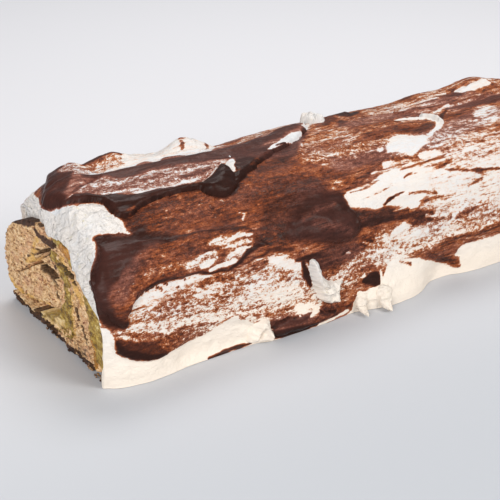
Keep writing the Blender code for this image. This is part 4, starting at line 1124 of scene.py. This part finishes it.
# The patches: (thickness, width of the rounded rim, options of add_patch, outline)
CHOCOLATE = {
    "chocolate_top_slab": (2.4, 2.2, {"shape": slab_form, "rim": 0.95}, (
         (0.4, 98.4), (2.6, 93), (6, 89.4), (10, 87.6), (15, 85.8), (19.5, 83), (20.4, 77), (22, 72),
        (28, 71.5), (33, 75), (42, 77.4), (52, 78), (60, 77.6), (64.5, 73), (69, 69.8), (74, 70.2),
        (79, 74.5), (84, 78), (91, 80.5), (97, 84), (104, 88), (110, 91), (116, 93), (124, 97),
        (132, 101.6), (138, 106), (143, 112), (134, 113.4), (118, 111), (104, 108), (92, 107), (76, 108),
        (64, 109.4), (50, 110), (36, 111), (24, 118), (16, 125), (10, 121), (4.6, 112), (1.6, 105))),
    "chocolate_near_lobe": (1.9, 2.6, {"shape": knife_marks, "fade": lobe_fade}, (
         (11, 66.5), (7.5, 63), (6, 58.5), (3, 53), (1, 49), (0.6, 43), (1.6, 37), (3.6, 32), (7, 27),
        (10, 27.6), (11.4, 31), (14, 35.6), (20, 39.4), (30, 41), (42, 40.4), (52, 38.8), (58, 38.2),
        (64, 40), (70, 43), (77, 44.6), (75, 49), (73, 52.4), (64, 55.4), (50, 56.6), (38, 56.8), (28, 60),
        (20, 64.4), (15, 66))),
    "chocolate_pool": (1.1, 3.4, {"shape": pool_form, "fade": pool_fade}, (
         (76, 46), (84, 43), (94, 41.8), (101, 39.6), (109, 37), (117, 35.6), (124, 36.6), (128, 41),
        (127, 45.6), (124.6, 50), (124, 54), (123.6, 57), (120.6, 61), (119.6, 66), (118, 73), (108, 75),
        (94, 74), (82, 68), (74, 58))),
    "chocolate_corner_lip": (1.2, 1.6, {"shape": knife_marks}, (
         (3, 23), (5.4, 17), (11, 12), (19, 9.4), (27, 9.6), (34, 11.6), (38, 13.4), (32, 16), (22, 18.5),
        (12, 22.4))),
    "chocolate_foot_lip": (1.8, 2.0, {"shape": knife_marks, "rim": 0.95}, (
         (77.6, 2.5), (78.4, 7), (86, 9.6), (96, 10), (104, 7), (112, 5), (106, 2), (92, 1.4))),
    "chocolate_panel": (0.6, 1.6, {"shape": knife_marks}, (
         (117, 79), (119, 84.6), (123, 90.6), (130, 97), (142, 101), (158, 102), (176, 99.6), (190, 96),
        (193, 88), (180, 83), (160, 84), (150, 78), (136, 74))),
    "chocolate_side_smear": (0.7, 1.2, {"shape": knife_marks}, (
         (167, 22), (170, 17), (179, 11.5), (187, 7.6), (188.6, 9), (187, 14.6), (198, 17.4), (220, 17),
        (246, 20), (272, 22), (270, 27), (240, 26), (210, 24), (186, 24.4))),
    "chocolate_far_ridge": (1.2, 2.4, {"shape": knife_marks}, (
         (190, 104), (204, 100), (224, 98), (246, 97), (268, 100), (286, 105), (284, 112), (262, 111),
        (240, 108), (212, 109))),
    "chocolate_far_pool": (1.4, 2.8, {"shape": pool_folds}, (
         (232, 66), (246, 60), (264, 58), (282, 62), (290, 72), (284, 82), (268, 84), (250, 79),
        (238, 74))),
    "chocolate_back_slab": (2.2, 2.5, {"shape": pool_folds}, (
         (34, 154), (48, 149), (74, 151), (98, 148), (118, 153), (112, 164), (92, 173), (72, 179),
        (50, 174), (38, 166))),
    "chocolate_back_smear": (1.2, 2.2, {"shape": knife_marks}, (
         (140, 146), (164, 142), (196, 145), (226, 151), (252, 160), (248, 170), (220, 168), (188, 162),
        (158, 160))),
}


def folded(*creases, rough=0.3):
    """A shape with creases, each (height, half width, places)."""
    def shape(along, around, depth):
        height = rough * layered(along / 2.3, around / 2.6, 55, 3) + creased(along, around, creases)
        return height * eased(depth / 1.2)
    return shape


SIDE_FOLDS = folded(
    (2.2, 1.4, ((98.8, 30), (101.5, 22.5), (105, 15.5), (107.6, 11.5))),
    (1.4, 1.5, ((104, 21.5), (109, 15.5), (111.6, 11))),
    (1.0, 1.0, ((113.4, 16), (112.4, 11))),
    (-0.9, 0.8, ((103.5, 20), (106.4, 14), (109, 10.5))), rough=0.5)
CURL_FOLDS = folded((1.5, 1.0, ((70, 3), (73.4, 10), (76, 6), (76.4, 1))), (-1.0, 0.8, ((72, 3), (74, 7))))
TOP_FOLDS = folded((1.0, 1.4, ((148.6, 121), (152, 115))), rough=0.8)
FAR_FOLDS = folded((1.0, 1.0, ((200, 94), (204, 88), (204, 83))))
SPECK_FOLDS = folded((0.8, 0.8, ((84.6, 88), (86.6, 93))))
PEAKS = {
    "cream_peak_side": (2.6, 2.0, {"tear": 0.6, "shape": SIDE_FOLDS}, (
         (98.8, 31.8), (97.8, 29.8), (97.6, 27.5), (99.6, 22.6), (101, 18.4), (102.2, 14), (105, 10.8),
        (108, 10.2), (111.6, 10.2), (112.8, 13.6), (113, 16.6), (115.4, 18.2), (113, 18.4), (109.3, 20),
        (105, 23.4), (102.6, 28.4), (100.6, 31.4))),
    "cream_curl_foot": (1.8, 1.8, {"tear": 0.2, "shape": CURL_FOLDS}, (
         (67, 1), (67.6, 6), (70, 10.4), (73.6, 11.6), (76.6, 9.4), (77.6, 4), (77, 0.6))),
    "cream_peak_top": (3.2, 2.2, {"tear": 0.9, "shape": TOP_FOLDS}, (
         (146, 119.6), (147.4, 115), (150.6, 112), (154, 112), (156, 115.6), (155, 121), (151.4, 123.4),
        (147.4, 122.6))),
    "cream_peak_far": (1.4, 1.4, {"tear": 0.3, "shape": FAR_FOLDS}, (
         (199, 94), (202.6, 88), (202, 83), (204.4, 82), (206, 88), (204.6, 93.6), (201, 96))),
}
# Small things that only this script makes
EXTRAS = {
    "cream_speck_top": (1.8, 1.2, {"tear": 0.3, "shape": SPECK_FOLDS}, (
         (82.8, 86), (84.6, 86.4), (87, 90.6), (88.4, 95), (86.6, 95.6), (84.6, 92))),
}
# What is laid on the coat: (first seed, slot, options that the table's patches share, table)
LAYERS = (
    (0, "chocolate", {}, CHOCOLATE),
    (20, "whipped_cream", {"bare": True, "step": 0.4}, PEAKS),
    (40, "whipped_cream", {"bare": True, "step": 0.35, "node": False}, EXTRAS),
)


def tube(path, radii, squash, seed, rings=26, spokes=22):
    """Points and faces of a tapering blob along a path, closed at both ends."""
    path, radii = np.array(path, float), np.array(radii, float)
    knots = np.linspace(0, 1, len(path))
    t = np.linspace(0, 1, rings)
    centre = np.stack([np.interp(t, knots, path[:, k]) for k in range(3)], -1)
    for _ in range(3):
        centre[1:-1] = (centre[:-2] + 2 * centre[1:-1] + centre[2:]) / 4
    radius = np.interp(t, knots, radii) * np.sqrt(1 - (2 * t - 1) ** 6)
    heading = np.gradient(centre, axis=0)
    heading /= np.linalg.norm(heading, axis=1)[:, None]
    side = np.cross(heading, (0, 1, 0))
    side /= np.linalg.norm(side, axis=1)[:, None]
    out = np.cross(side, heading)
    angle = np.linspace(0, 2 * math.pi, spokes, endpoint=False)
    turn = np.stack([np.cos(angle), np.sin(angle)])
    swell = 1 + 0.2 * layered(t[:, None] * 6 + seed, turn[0] * 1.5 + turn[1] * 1.1, seed, 3)
    swell = swell + 0.1 * layered(t[:, None] * 14, turn[0] * 3 - turn[1] * 3.4, seed + 9, 2)
    ring = side[:, None] * np.cos(angle)[None, :, None] + out[:, None] * np.sin(angle)[None, :, None] * squash
    points = centre[:, None] + ring * (radius[:, None] * swell)[..., None]
    number = np.arange(rings * spokes).reshape(rings, spokes)
    number = np.concatenate([number, number[:, :1]], 1)
    caps = [number[0, :-1][None, ::-1], number[-1, :-1][None]]
    return points.reshape(-1, 3), [grid_faces(number), *caps]


DRIPS = {  # node -> (places along of the top and the tip, how far the tip reaches out from the foot, width)
    "cream_drip_left": (127.4, 125.4, 7.6, 3.0),
    "cream_drip_right": (138.4, 137.4, 6.4, 3.6),
}
DRIP_PATH = ((10.0, -3.6), (8.0, -1.4), (5.0, 0.4), (2.5, 1.5))  # (around, height over the coat)
DRIP_RADII = (0.9, 1.1, 1.05, 0.78, 0.3)  # shares of the width, down to the tip
DRIP_SQUASH, TIP_HEIGHT = 0.72, 0.9


def build_drips():
    """The short drips at the front foot."""
    for seed, (name, (top, tip, reach, width)) in enumerate(DRIPS.items()):
        around, over = (np.array(column) for column in zip(*DRIP_PATH))
        along = np.linspace(top, tip, len(around) + 1)[:-1]
        path = over_coat(along, around, over)
        foot = over_coat(np.array([tip]), np.array([0.5]), reach)
        foot[0, 2] = TIP_HEIGHT
        path = np.concatenate([path, foot])
        points, faces = tube(path, np.array(DRIP_RADII) * width, DRIP_SQUASH, seed=seed + 3)
        points[:, 2] = np.maximum(points[:, 2], 0)
        flow = np.stack([points[:, 0] - NEAR_X, points[:, 2], points[:, 1]], -1)
        flat = np.zeros(len(points))
        new_piece(name + "_dressed", points, faces, COATING, "whipped_cream", (name,), flow=flow,
                  film=flat + CREAM, grain=flat + 0.1, dots=flat, torn=flat + 0.8, mauve=flat)


def build_patches():
    for first_seed, slot, shared, patches in LAYERS:
        for seed, (name, (thickness, edge, options, outline)) in enumerate(patches.items(), first_seed):
            add_patch(name, slot, thickness, edge, outline, seed=seed, **shared, **options)


build_coat()
build_patches()
build_drips()


# The rolled sponge and its custard

# The openings of these holes are also painted dark, as painted shade inside them.
HOLES = (  # (depth, feather, places) on the cut face, about the log's axis
    (5.0, 1.6, ((9, 31, 0.4), (5, 32.4, 1.2), (0, 33, 1.7), (-5, 32.4, 1.4), (-9.6, 30.8, 0.4))),
    (4.0, 1.5, ((8, 37.4, 1.5), (4, 39.6, 1.3), (-1, 41.6, 1.0), (-4, 43, 0.3))),
    (4.5, 0.9, ((-16.4, 42.4, 0.4), (-21, 41.6, 1.3), (-26, 40.8, 1.5), (-29, 39.4, 0.6))),
    (2.0, 1.6, ((38, 4.6, 0.6), (33, 4.2, 1.5), (26, 4, 1.5), (20.6, 4.4, 0.7))),
    (1.5, 1.4, ((17, 6, 1.4), (13, 7, 1.2), (9, 8, 0.4))),
    (2.0, 1.6, ((8.6, 3.6, 0.6), (4.4, 4.4, 1.8), (0, 4.6, 1.6), (-5, 3.4, 0.8))),
    (2.4, 1.2, ((-31, 21.4, 0.5), (-33.6, 18.4, 0.7), (-36.6, 14, 0.5))),
    (2.0, 1.0, ((-10.6, 26.4, 0.9), (-12, 22, 0.7))),
    (1.6, 0.8, ((-19.6, 26.6, 0.6), (-22.4, 25.4, 0.6))),
    (2.0, 1.0, ((-27.6, 26.4, 0.7), (-28.6, 23.4, 0.8))),
    (1.6, 0.8, ((-8, 47.6, 0.6), (-11, 49, 0.6))),
    (1.5, 2.0, ((-36, 5, 1.2), (-42, 3, 2.2))),
    (1.0, 1.0, ((-22, 4.4, 1), (-28, 5.4, 0.8))),
    (0.5, 1.0, ((13, 54, 2), (6, 54.6, 2), (-2, 54.6, 1.4), (-14, 54.4, 0.8), (-24, 55.4, 0.6))),
)
CRUST_AND_FOOT_SHADE = (  # (share, feather, places): the browned skin of the sponge, painted darker along the foot as shade beneath the roll
    (1.0, 2.2, ((9, 50.6, 1.2), (13, 51.6, 2.2), (20, 49.4, 2.6), (28, 47.4, 2.4), (36, 44, 1.8),
        (42, 39, 1), (46.4, 30.6, 2), (48.4, 26, 1))),
    (0.8, 2.5, ((9, 48, 1.5), (0, 47, 2.5), (-8, 48, 2.5))),
    # along the foot: browned crust, darkened further as painted shade under the roll
    (1.6, 2.6, ((46, 4.6, 1), (38, 3, 2.2), (25, 2, 2.8), (12, 3.4, 2.6), (-10, 2.4, 2.4), (-24, 2.4, 2.2),
        (-40, 3, 3))),
    (0.5, 3.0, ((-24, 8, 3), (-38, 10, 3))),
    (0.28, 3, ((15, 27, 1), (26, 21, 2), (34, 17, 1))),
    (0.6, 1.5, ((6, 36.6, 0.7), (14, 36, 0.8), (18, 33, 0.6))),
    (0.3, 2, ((-26, 36, 1), (-28, 28, 1.2), (-33, 20, 1.4), (-37, 12, 1.4))),
    (0.56, 1.6, ((12, 11.6, 0.5), (2, 14, 0.6), (-6, 17.4, 0.6), (-11, 22, 0.5), (-10, 27, 0.6))),
    (0.6, 2.5, ((-4, 42, 1.5), (-9, 38, 1.5), (-17, 45, 1.5))),
)
STAIN = (  # (share, feather, places): sponge soaked yellow by the custard
    (1.0, 3, ((46, 34, 1), (49, 24, 1.6), (47, 13, 2.4), (40, 9.6, 2), (28, 9.6, 1.6), (12, 13, 1.4),
        (0, 16, 1))),
    (0.8, 3, ((20, 30, 1), (14, 34, 2), (10, 40, 1.5), (8, 46, 1.5))),
    (0.9, 3, ((-17, 45, 2), (-24, 41, 2), (-34, 34, 2))),
    (0.7, 3, ((-26, 33, 1.5), (-24, 22, 1), (-24, 12, 1))),
)
AMBER = (  # (share, feather, places): custard that is browned or amber rather than green
    (1.0, 3, ((-17, 50, 2), (-25, 51, 3))),
    (0.7, 3, ((-37, 28, 1), (-39, 20, 2), (-42, 10, 3), (-44, 5, 2))),
    (0.7, 2, ((8, 7, 1), (4, 10, 1), (-4, 12, 1.4))),
    (0.9, 4, ((-8, 2, 2), (-18, 3, 3))),
)
CRUMBED = (  # (share, feather, places): custard with sponge crumbs on it
    (0.9, 3, ((-29, 41, 2), (-33, 38, 3), (-30, 35, 2))),
    (0.8, 3, ((-12, 46, 2), (-14, 42, 1.5))),
    (0.55, 3, ((-19, 12, 2), (-12, 9, 2.4), (-3, 7.4, 2), (6, 6.6, 2))),
    (0.9, 2, ((-46, 8, 2), (-44, 3, 3))),
    (0.6, 2, ((-13, 30, 1), (-12, 36, 1), (-22, 33, 1))),
)
PALE = (  # (share, feather, places): custard that is pale and crumbly
    (1.0, 3, ((11, 7.6, 2), (4, 9.4, 2.4), (-5, 11.4, 2.6), (-13, 14, 2))),
)
SHADED_CUSTARD = (  # (share, feather, places): custard painted nearly black as shade, under the cream's lip, beside the cream and along the foot, where it is partly browned as well
    (0.6, 3, ((12, 51, 2), (2, 51, 3), (-6, 51, 3), (-12, 50.4, 1.4))),
    (0.9, 2, ((14, 2, 1), (4, 1.4, 2.6), (-6, 1.4, 2))),
    (0.5, 2.5, ((-52, 26, 1.2), (-52.6, 18, 1.4), (-50, 9, 1))),
)


FACE_SHIFT = (4.0, -2.0)  # (y, z) from where the areas above are drawn to where they lie


def on_face(rows, y, z):
    """Shares of drawn areas at places on the cut face."""
    y, z = y - FACE_SHIFT[0], z - FACE_SHIFT[1]
    a = y + 0.9 * layered(y / 4.5, z / 4.5, 109, 2)
    b = z + 0.7 * layered(y / 4.5, z / 4.5, 110, 2)
    return shares(rows, a, b)


def border_edges(faces):
    """The edges that only one face has."""
    edges = {}
    for corners in faces:
        for edge in zip(corners, corners[1:] + corners[:1]):
            if edge[::-1] in edges:
                del edges[edge[::-1]]
            else:
                edges[edge] = True
    return list(edges)


def node_loop(node):
    """The outline of a node's near cut face, as (y, z) about the log's axis."""
    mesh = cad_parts[node].data
    points = np.array([v.co for v in mesh.vertices]) / MM
    flat = points[:, 0] < points[:, 0].min() + 0.01
    keys = {}
    number = [keys.setdefault(tuple(np.round(p, 3)), len(keys)) for p in points]
    places = {number[k]: points[k] for k in range(len(points))}
    polygons = [list(polygon.vertices) for polygon in mesh.polygons]
    faces = [[number[c] for c in corners] for corners in polygons if all(flat[c] for c in corners)]
    after = dict(border_edges(faces))
    start = next(iter(after))
    loop, at = [start], after[start]
    while at != start:
        loop.append(at)
        at = after[at]
    return np.array([(places[k][1] - AXIS_Y, places[k][2]) for k in loop])


def evenly(loop, step):
    """Points at even steps round a closed loop."""
    closed = np.concatenate([loop, loop[:1]])
    walked = np.concatenate([[0], np.cumsum(np.linalg.norm(np.diff(closed, axis=0), axis=1))])
    at = np.linspace(0, walked[-1], max(12, round(walked[-1] / step)), endpoint=False)
    return np.stack([np.interp(at, walked, closed[:, k]) for k in (0, 1)], -1)


def pores(y, z, seed):
    """The open crumb of the sponge: depth of its little holes, in mm."""
    small = np.clip(noise(y / 1.0, z / 0.9, seed) - 0.2, 0, 1)
    large = np.clip(noise(y / 2.3 + 7, z / 1.8, seed + 1) - 0.35, 0, 1)
    return 1.1 * small + 1.9 * large


def face_depth(kind, y, z, depth, near):
    """How far the cut face lies behind its plane."""
    seed = 101 if near else 151
    torn = 0.5 * layered(y / 6, z / 5, seed, 3)
    if kind == "sponge":
        value = 0.5 + torn + pores(y, z, seed + 20) + 0.3 * eased(1 - depth / 1.0) - 1.2 * eased((y - 5) / 30)
        value += 0.4 * layered(y / 1.3, z / 1.2, seed + 30, 2)
        value += (0.8 + 0.4 * noise(y / 6, z / 3.4, seed + 33) - 0.8 * torn) * eased((6 - z) / 4)
    else:
        value = 0.4 + 0.8 * torn + 0.45 * layered(y / 2.4, z / 2.2, seed + 40, 3)
        if near:
            value += 2.4 * eased(0.4 - outline_depth(y, z, np.array(LIP, float)) / 1.6)
            value += 4.0 * eased((y + 6) / 6) * eased((z - 44) / 4)
        value += 0.9 * np.clip(noise(y / 1.7, z / 2.4, seed + 41) - 0.2, 0, 1)
        value += 1.2 * on_face(CRUMBED, y, z) * np.clip(0.6 + noise(y / 1.5, z / 1.4, seed + 42), 0, 2)
    return np.clip(value + on_face(HOLES, y, z), -0.6, 9)


def build_roll_piece(node, kind, material):
    """A layer of the roll through the whole log, with both of its cut faces modelled."""
    step = 0.5 * COARSE
    loop = evenly(node_loop(node), step)
    along_loop = np.roll(loop, -1, 0) - np.roll(loop, 1, 0)
    normal = np.stack([along_loop[:, 1], -along_loop[:, 0]], -1)
    normal /= np.linalg.norm(normal, axis=1)[:, None] + 1e-9
    probe = loop + normal * 0.2
    outward = np.where(outline_depth(probe[:, 0], probe[:, 1], loop) < 0, 1, -1)[:, None]
    rim = loop + normal * outward * 0.28
    rim[:, 1] = np.maximum(rim[:, 1], 0)
    rng = np.random.default_rng(5)
    half_width, top, jitter = 56, 62, 0.2
    y, z = np.meshgrid(np.arange(-half_width, half_width, step), np.arange(0, top, step), indexing="ij")
    y = y.ravel() + rng.uniform(-jitter, jitter, y.size) * step
    z = z.ravel() + rng.uniform(-jitter, jitter, z.size) * step
    keep = outline_depth(y, z, rim) > 0.55 * step
    places = [Vector(p) for p in rim] + [Vector(p) for p in np.stack([y[keep], z[keep]], -1)]
    flat = delaunay_2d_cdt(places, [], [list(range(len(rim)))], 1, 1e-4)
    plane = np.array([tuple(p) for p in flat[0]])
    triangles = np.array([t for t in flat[2] if len(t) == 3])
    depth = outline_depth(plane[:, 0], plane[:, 1], rim)
    near = FACE_X + face_depth(kind, plane[:, 0], plane[:, 1], depth, True) - 0.3
    far = -FACE_X - face_depth(kind, plane[:, 0], plane[:, 1], depth, False) + 0.3
    count = len(plane)
    points = np.concatenate([np.stack([x, plane[:, 0] + AXIS_Y, plane[:, 1]], -1) for x in (near, far)])
    walls = np.array([(b, a, a + count, b + count) for a, b in border_edges(triangles.tolist())])
    faces = [triangles, triangles[:, ::-1] + count, walls]
    drawn = (CRUST_AND_FOOT_SHADE, STAIN) if kind == "sponge" else (CRUMBED, AMBER)
    crust, stain = (on_face(rows, *plane.T) for rows in drawn)
    # painted shade: masks of the holes' openings and of the custard's shaded areas, to darken them
    wider = [(1.0, feather, [(y, z, half + 0.3) for y, z, half in places]) for _, feather, places in HOLES]
    hole = on_face(wider, *plane.T)
    if kind == "custard":
        stain = stain - on_face(PALE, *plane.T)
        hole = np.maximum(hole, 0.45 * on_face(SHADED_CUSTARD, *plane.T) * (1 + 0.8 * noise(*(plane.T / 1.9), 143)))
    doubled = {key: np.concatenate([v, v]) for key, v in (("crust", crust), ("stain", stain), ("hole", hole))}
    flow = points[:, [1, 2, 0]] - (AXIS_Y, 0, 0)
    return new_piece(node + "_dressed", points, faces, material, kind, (node,), flow=flow, **doubled)


def crumb_colour(s, place):
    """The crumb's own colour, with its dark little pits, and its two noises."""
    medium = s.noise(place, (0.26, 0.36, 0.34), 5, 0.65)
    fine = s.noise(place, (0.42, 0.8, 0.6), 4, 0.65)
    colour = s.ramp(s.plus(s.plus(s.times(medium, 1.2), s.times(fine, 2.2)), 0.5), (
        (0.0, srgb(66, 40, 26)), (0.2, srgb(140, 96, 60)), (0.38, srgb(206, 160, 112)),
        (0.6, srgb(232, 194, 146)), (1.0, srgb(252, 226, 186))))
    return colour, medium, fine


def sponge_material():
    s = Shader("sponge_crumb")
    place = s.attribute("flow", True)
    crust, stain, hole = (s.attribute(key) for key in ("crust", "stain", "hole"))
    colour, medium, fine = crumb_colour(s, place)
    broad = s.noise(place, (0.11, 0.14, 0.1), 3)
    colour = s.mix(s.span(broad, 0.0, 0.12, 0, 0.4), colour, srgb(206, 154, 124))
    soaked = s.span(s.plus(stain, s.times(medium, 1.5)), 0.15, 0.8)
    colour = s.mix(s.times(soaked, 0.65), colour, srgb(226, 178, 88))
    spots = s.span(s.plus(s.noise(place, (0.3, 0.5, 0.4), 3, 0.6), s.times(broad, 0.3)), 0.14, 0.2, 0, 0.85)
    colour = s.mix(spots, colour, srgb(128, 66, 42))
    # browned crust; along the foot the same darkening is painted shade
    skin = s.span(s.plus(crust, s.plus(s.times(medium, 1.5), s.times(fine, 0.8))), 0.4, 0.7)
    brown = s.ramp(s.plus(fine, 0.5), ((0.3, srgb(34, 20, 16)), (0.72, srgb(102, 70, 54))))
    colour = s.mix(skin, colour, brown)
    # painted shade: the holes' openings are darkened
    pit_shade = s.ramp(s.plus(fine, 0.5), ((0.3, srgb(34, 20, 12)), (0.7, srgb(104, 70, 40))))
    colour = s.mix(s.span(hole, 0.15, 0.5, 0, 0.92), colour, pit_shade)
    height = s.plus(s.noise(place, (0.9, 1.0, 0.9), 2, 0.5), s.noise(place, (0.35, 0.4, 0.35), 1, 0.5))
    s.set(Base_Color=colour, Roughness=0.85, Normal=s.bump(height, 1.4 * MM, 1.0))
    return s.material


def custard_material():
    s = Shader("custard_filling")
    place = s.attribute("flow", True)
    crumbed, amber, hole = (s.attribute(key) for key in ("crust", "stain", "hole"))
    crumb, medium, fine = crumb_colour(s, place)
    colour = s.ramp(s.plus(s.plus(s.times(medium, 1.9), s.times(fine, 1.2)), 0.5), (
        (0.08, srgb(56, 38, 14)), (0.3, srgb(112, 82, 24)), (0.52, srgb(152, 120, 42)),
        (0.76, srgb(190, 162, 82)), (1.0, srgb(228, 208, 142))))
    browned = s.ramp(s.plus(s.plus(medium, fine), 0.5), (
        (0.15, srgb(84, 50, 24)), (0.45, srgb(170, 108, 34)), (0.75, srgb(204, 146, 58)),
        (1.0, srgb(224, 180, 104))))
    pale = s.ramp(s.plus(s.times(fine, 1.5), 0.5), (
        (0.1, srgb(150, 104, 52)), (0.4, srgb(222, 186, 122)), (0.9, srgb(248, 228, 184))))
    toned = s.plus(amber, medium)
    colour = s.mix(s.span(toned, 0.2, 0.8, 0, 0.9), colour, browned)
    colour = s.mix(s.span(toned, -0.8, -0.2, 0.85, 0), colour, pale)
    colour = s.mix(s.span(s.plus(crumbed, s.times(medium, 2.0)), 0.45, 0.6), colour, crumb)
    # painted shade: the holes' openings are darkened
    pit_shade = s.ramp(s.plus(fine, 0.5), ((0.3, srgb(40, 26, 12)), (0.7, srgb(110, 84, 36))))
    colour = s.mix(s.span(hole, 0.15, 0.5, 0, 0.92), colour, pit_shade)
    grains = s.times(s.noise(place, (0.8, 0.9, 0.8), 2, 0.5), 0.7)
    bump = s.bump(s.plus(grains, s.noise(place, (0.3, 0.34, 0.3), 1, 0.5)), 1.2 * MM, 0.9)
    s.set(Base_Color=colour, Roughness=s.span(fine, -0.2, 0.2, 0.6, 0.4), Normal=bump)
    return s.material


SPONGE, CUSTARD = sponge_material(), custard_material()
build_roll_piece("sponge_roll", "sponge", SPONGE)
build_roll_piece("custard_inside", "custard", CUSTARD)
build_roll_piece("custard_outside", "custard", CUSTARD)


def build_crumbs(count=48):
    """Crumbs at the foot of the near cut face."""
    shape = bmesh.new()
    bmesh.ops.create_icosphere(shape, subdivisions=2, radius=1)
    ball = np.array([tuple(v.co) for v in shape.verts])
    corners = np.array([[v.index for v in f.verts] for f in shape.faces])
    shape.free()
    rng = np.random.default_rng(11)
    points, faces = [], []
    for k in range(count):
        size = rng.uniform(0.25, 0.65) * np.array([0.8, rng.uniform(1.0, 2.2), rng.uniform(0.5, 0.9)])
        lump = 1 + 0.5 * layered(ball[:, 0] * 1.9 + 3 * k, ball[:, 1] * 1.9 + ball[:, 2] * 2.3, 7, 2)
        x, y = FACE_X + rng.uniform(0.2, 2.0), AXIS_Y + rng.uniform(-45, 44)
        z = size[2] * 0.8 + rng.uniform(0, 1) ** 3 * 3
        points.append(ball * size * lump[:, None] + (x, y, z))
        faces.append(corners + k * len(ball))
    points = np.concatenate(points)
    tone = np.repeat(rng.uniform(0, 1, (2, count)), len(ball), axis=1)
    new_piece("crumbs", points, faces, SPONGE, "sponge", flow=points[:, [1, 2, 0]] - (AXIS_Y, 0, 0),
              crust=0.25 + 0.75 * tone[0], stain=tone[1] * 0.6, hole=tone[0] * 0)


build_crumbs()


# Floor, light and camera


def build_stage():
    """The floor, its colour painted lighter towards the back in place of the light's fall-off, and a pale
    sky.  Lengths are in m here.
    """
    mesh = bpy.data.meshes.new("floor")
    reach, below = 6.0, -0.0002
    corners = [(x * reach, y * reach, below) for x, y in ((-1, -1), (1, -1), (1, 1), (-1, 1))]
    mesh.from_pydata(corners, [], [(0, 1, 2, 3)])
    floor = bpy.data.objects.new("floor", mesh)
    bpy.context.scene.collection.objects.link(floor)
    s = Shader("pale_floor")
    place = s.add("ShaderNodeTexCoord").outputs["Object"]
    depth = s.add("ShaderNodeSeparateXYZ", {0: place}).outputs[1]
    # painted light: darker near the front, lighter towards the back
    painted_floor_light = s.mix(s.span(depth, -0.2, 0.2), srgb(189, 193, 199), srgb(227, 227, 231))
    s.set(Base_Color=painted_floor_light, Roughness=0.8)
    s.out.inputs["Specular IOR Level"].default_value = 0.2
    mesh.materials.append(s.material)
    world = bpy.data.worlds.new("studio")
    bpy.context.scene.world = world
    world.use_nodes = True
    sky = world.node_tree.nodes["Background"].inputs
    sky["Color"].default_value = (0.93, 0.96, 1.0, 1)
    sky["Strength"].default_value = 0.36


def add_light(name, place, target, size, power, colour):
    data = bpy.data.lights.new(name, "AREA")
    data.shape, data.size, data.size_y = "RECTANGLE", size[0], size[1]
    data.energy, data.color = power, colour
    light = bpy.data.objects.new(name, data)
    bpy.context.scene.collection.objects.link(light)
    light.location = place
    light.rotation_euler = (Vector(target) - Vector(place)).to_track_quat("-Z", "Y").to_euler()


build_stage()
add_light("key", (0.45, -0.95, 0.7), (0, 0, 0.03), (0.5, 0.5), 7.9, (1.0, 0.96, 0.91))
add_light("top", (0.3, 0.5, 1.1), (0, 0, 0.04), (0.7, 0.5), 7.4, (1.0, 0.98, 0.96))
add_light("fill", (-0.9, -0.6, 0.45), (-0.1, 0, 0.03), (0.5, 0.5), 7.4, (1.0, 0.97, 0.94))

CAMERA_FROM_FOOT = (-0.1539, -0.3839, 0.234)  # from the middle of the near end's foot, in m
CAMERA_TILT, CAMERA_TURN = 64.7, -33.7  # degrees up from straight down, and round from the back
camera_data = bpy.data.cameras.new("camera")
camera_data.lens, camera_data.sensor_width = 77.54, 36.0
camera_data.clip_start, camera_data.clip_end = 0.01, 30
camera = bpy.data.objects.new("camera", camera_data)
bpy.context.scene.collection.objects.link(camera)
camera.location = Vector((NEAR_X * MM, AXIS_Y * MM, 0)) + Vector(CAMERA_FROM_FOOT)
camera.rotation_euler = (math.radians(CAMERA_TILT), 0, math.radians(CAMERA_TURN))
bpy.context.scene.camera = camera
bpy.context.scene.view_settings.view_transform = "Standard"
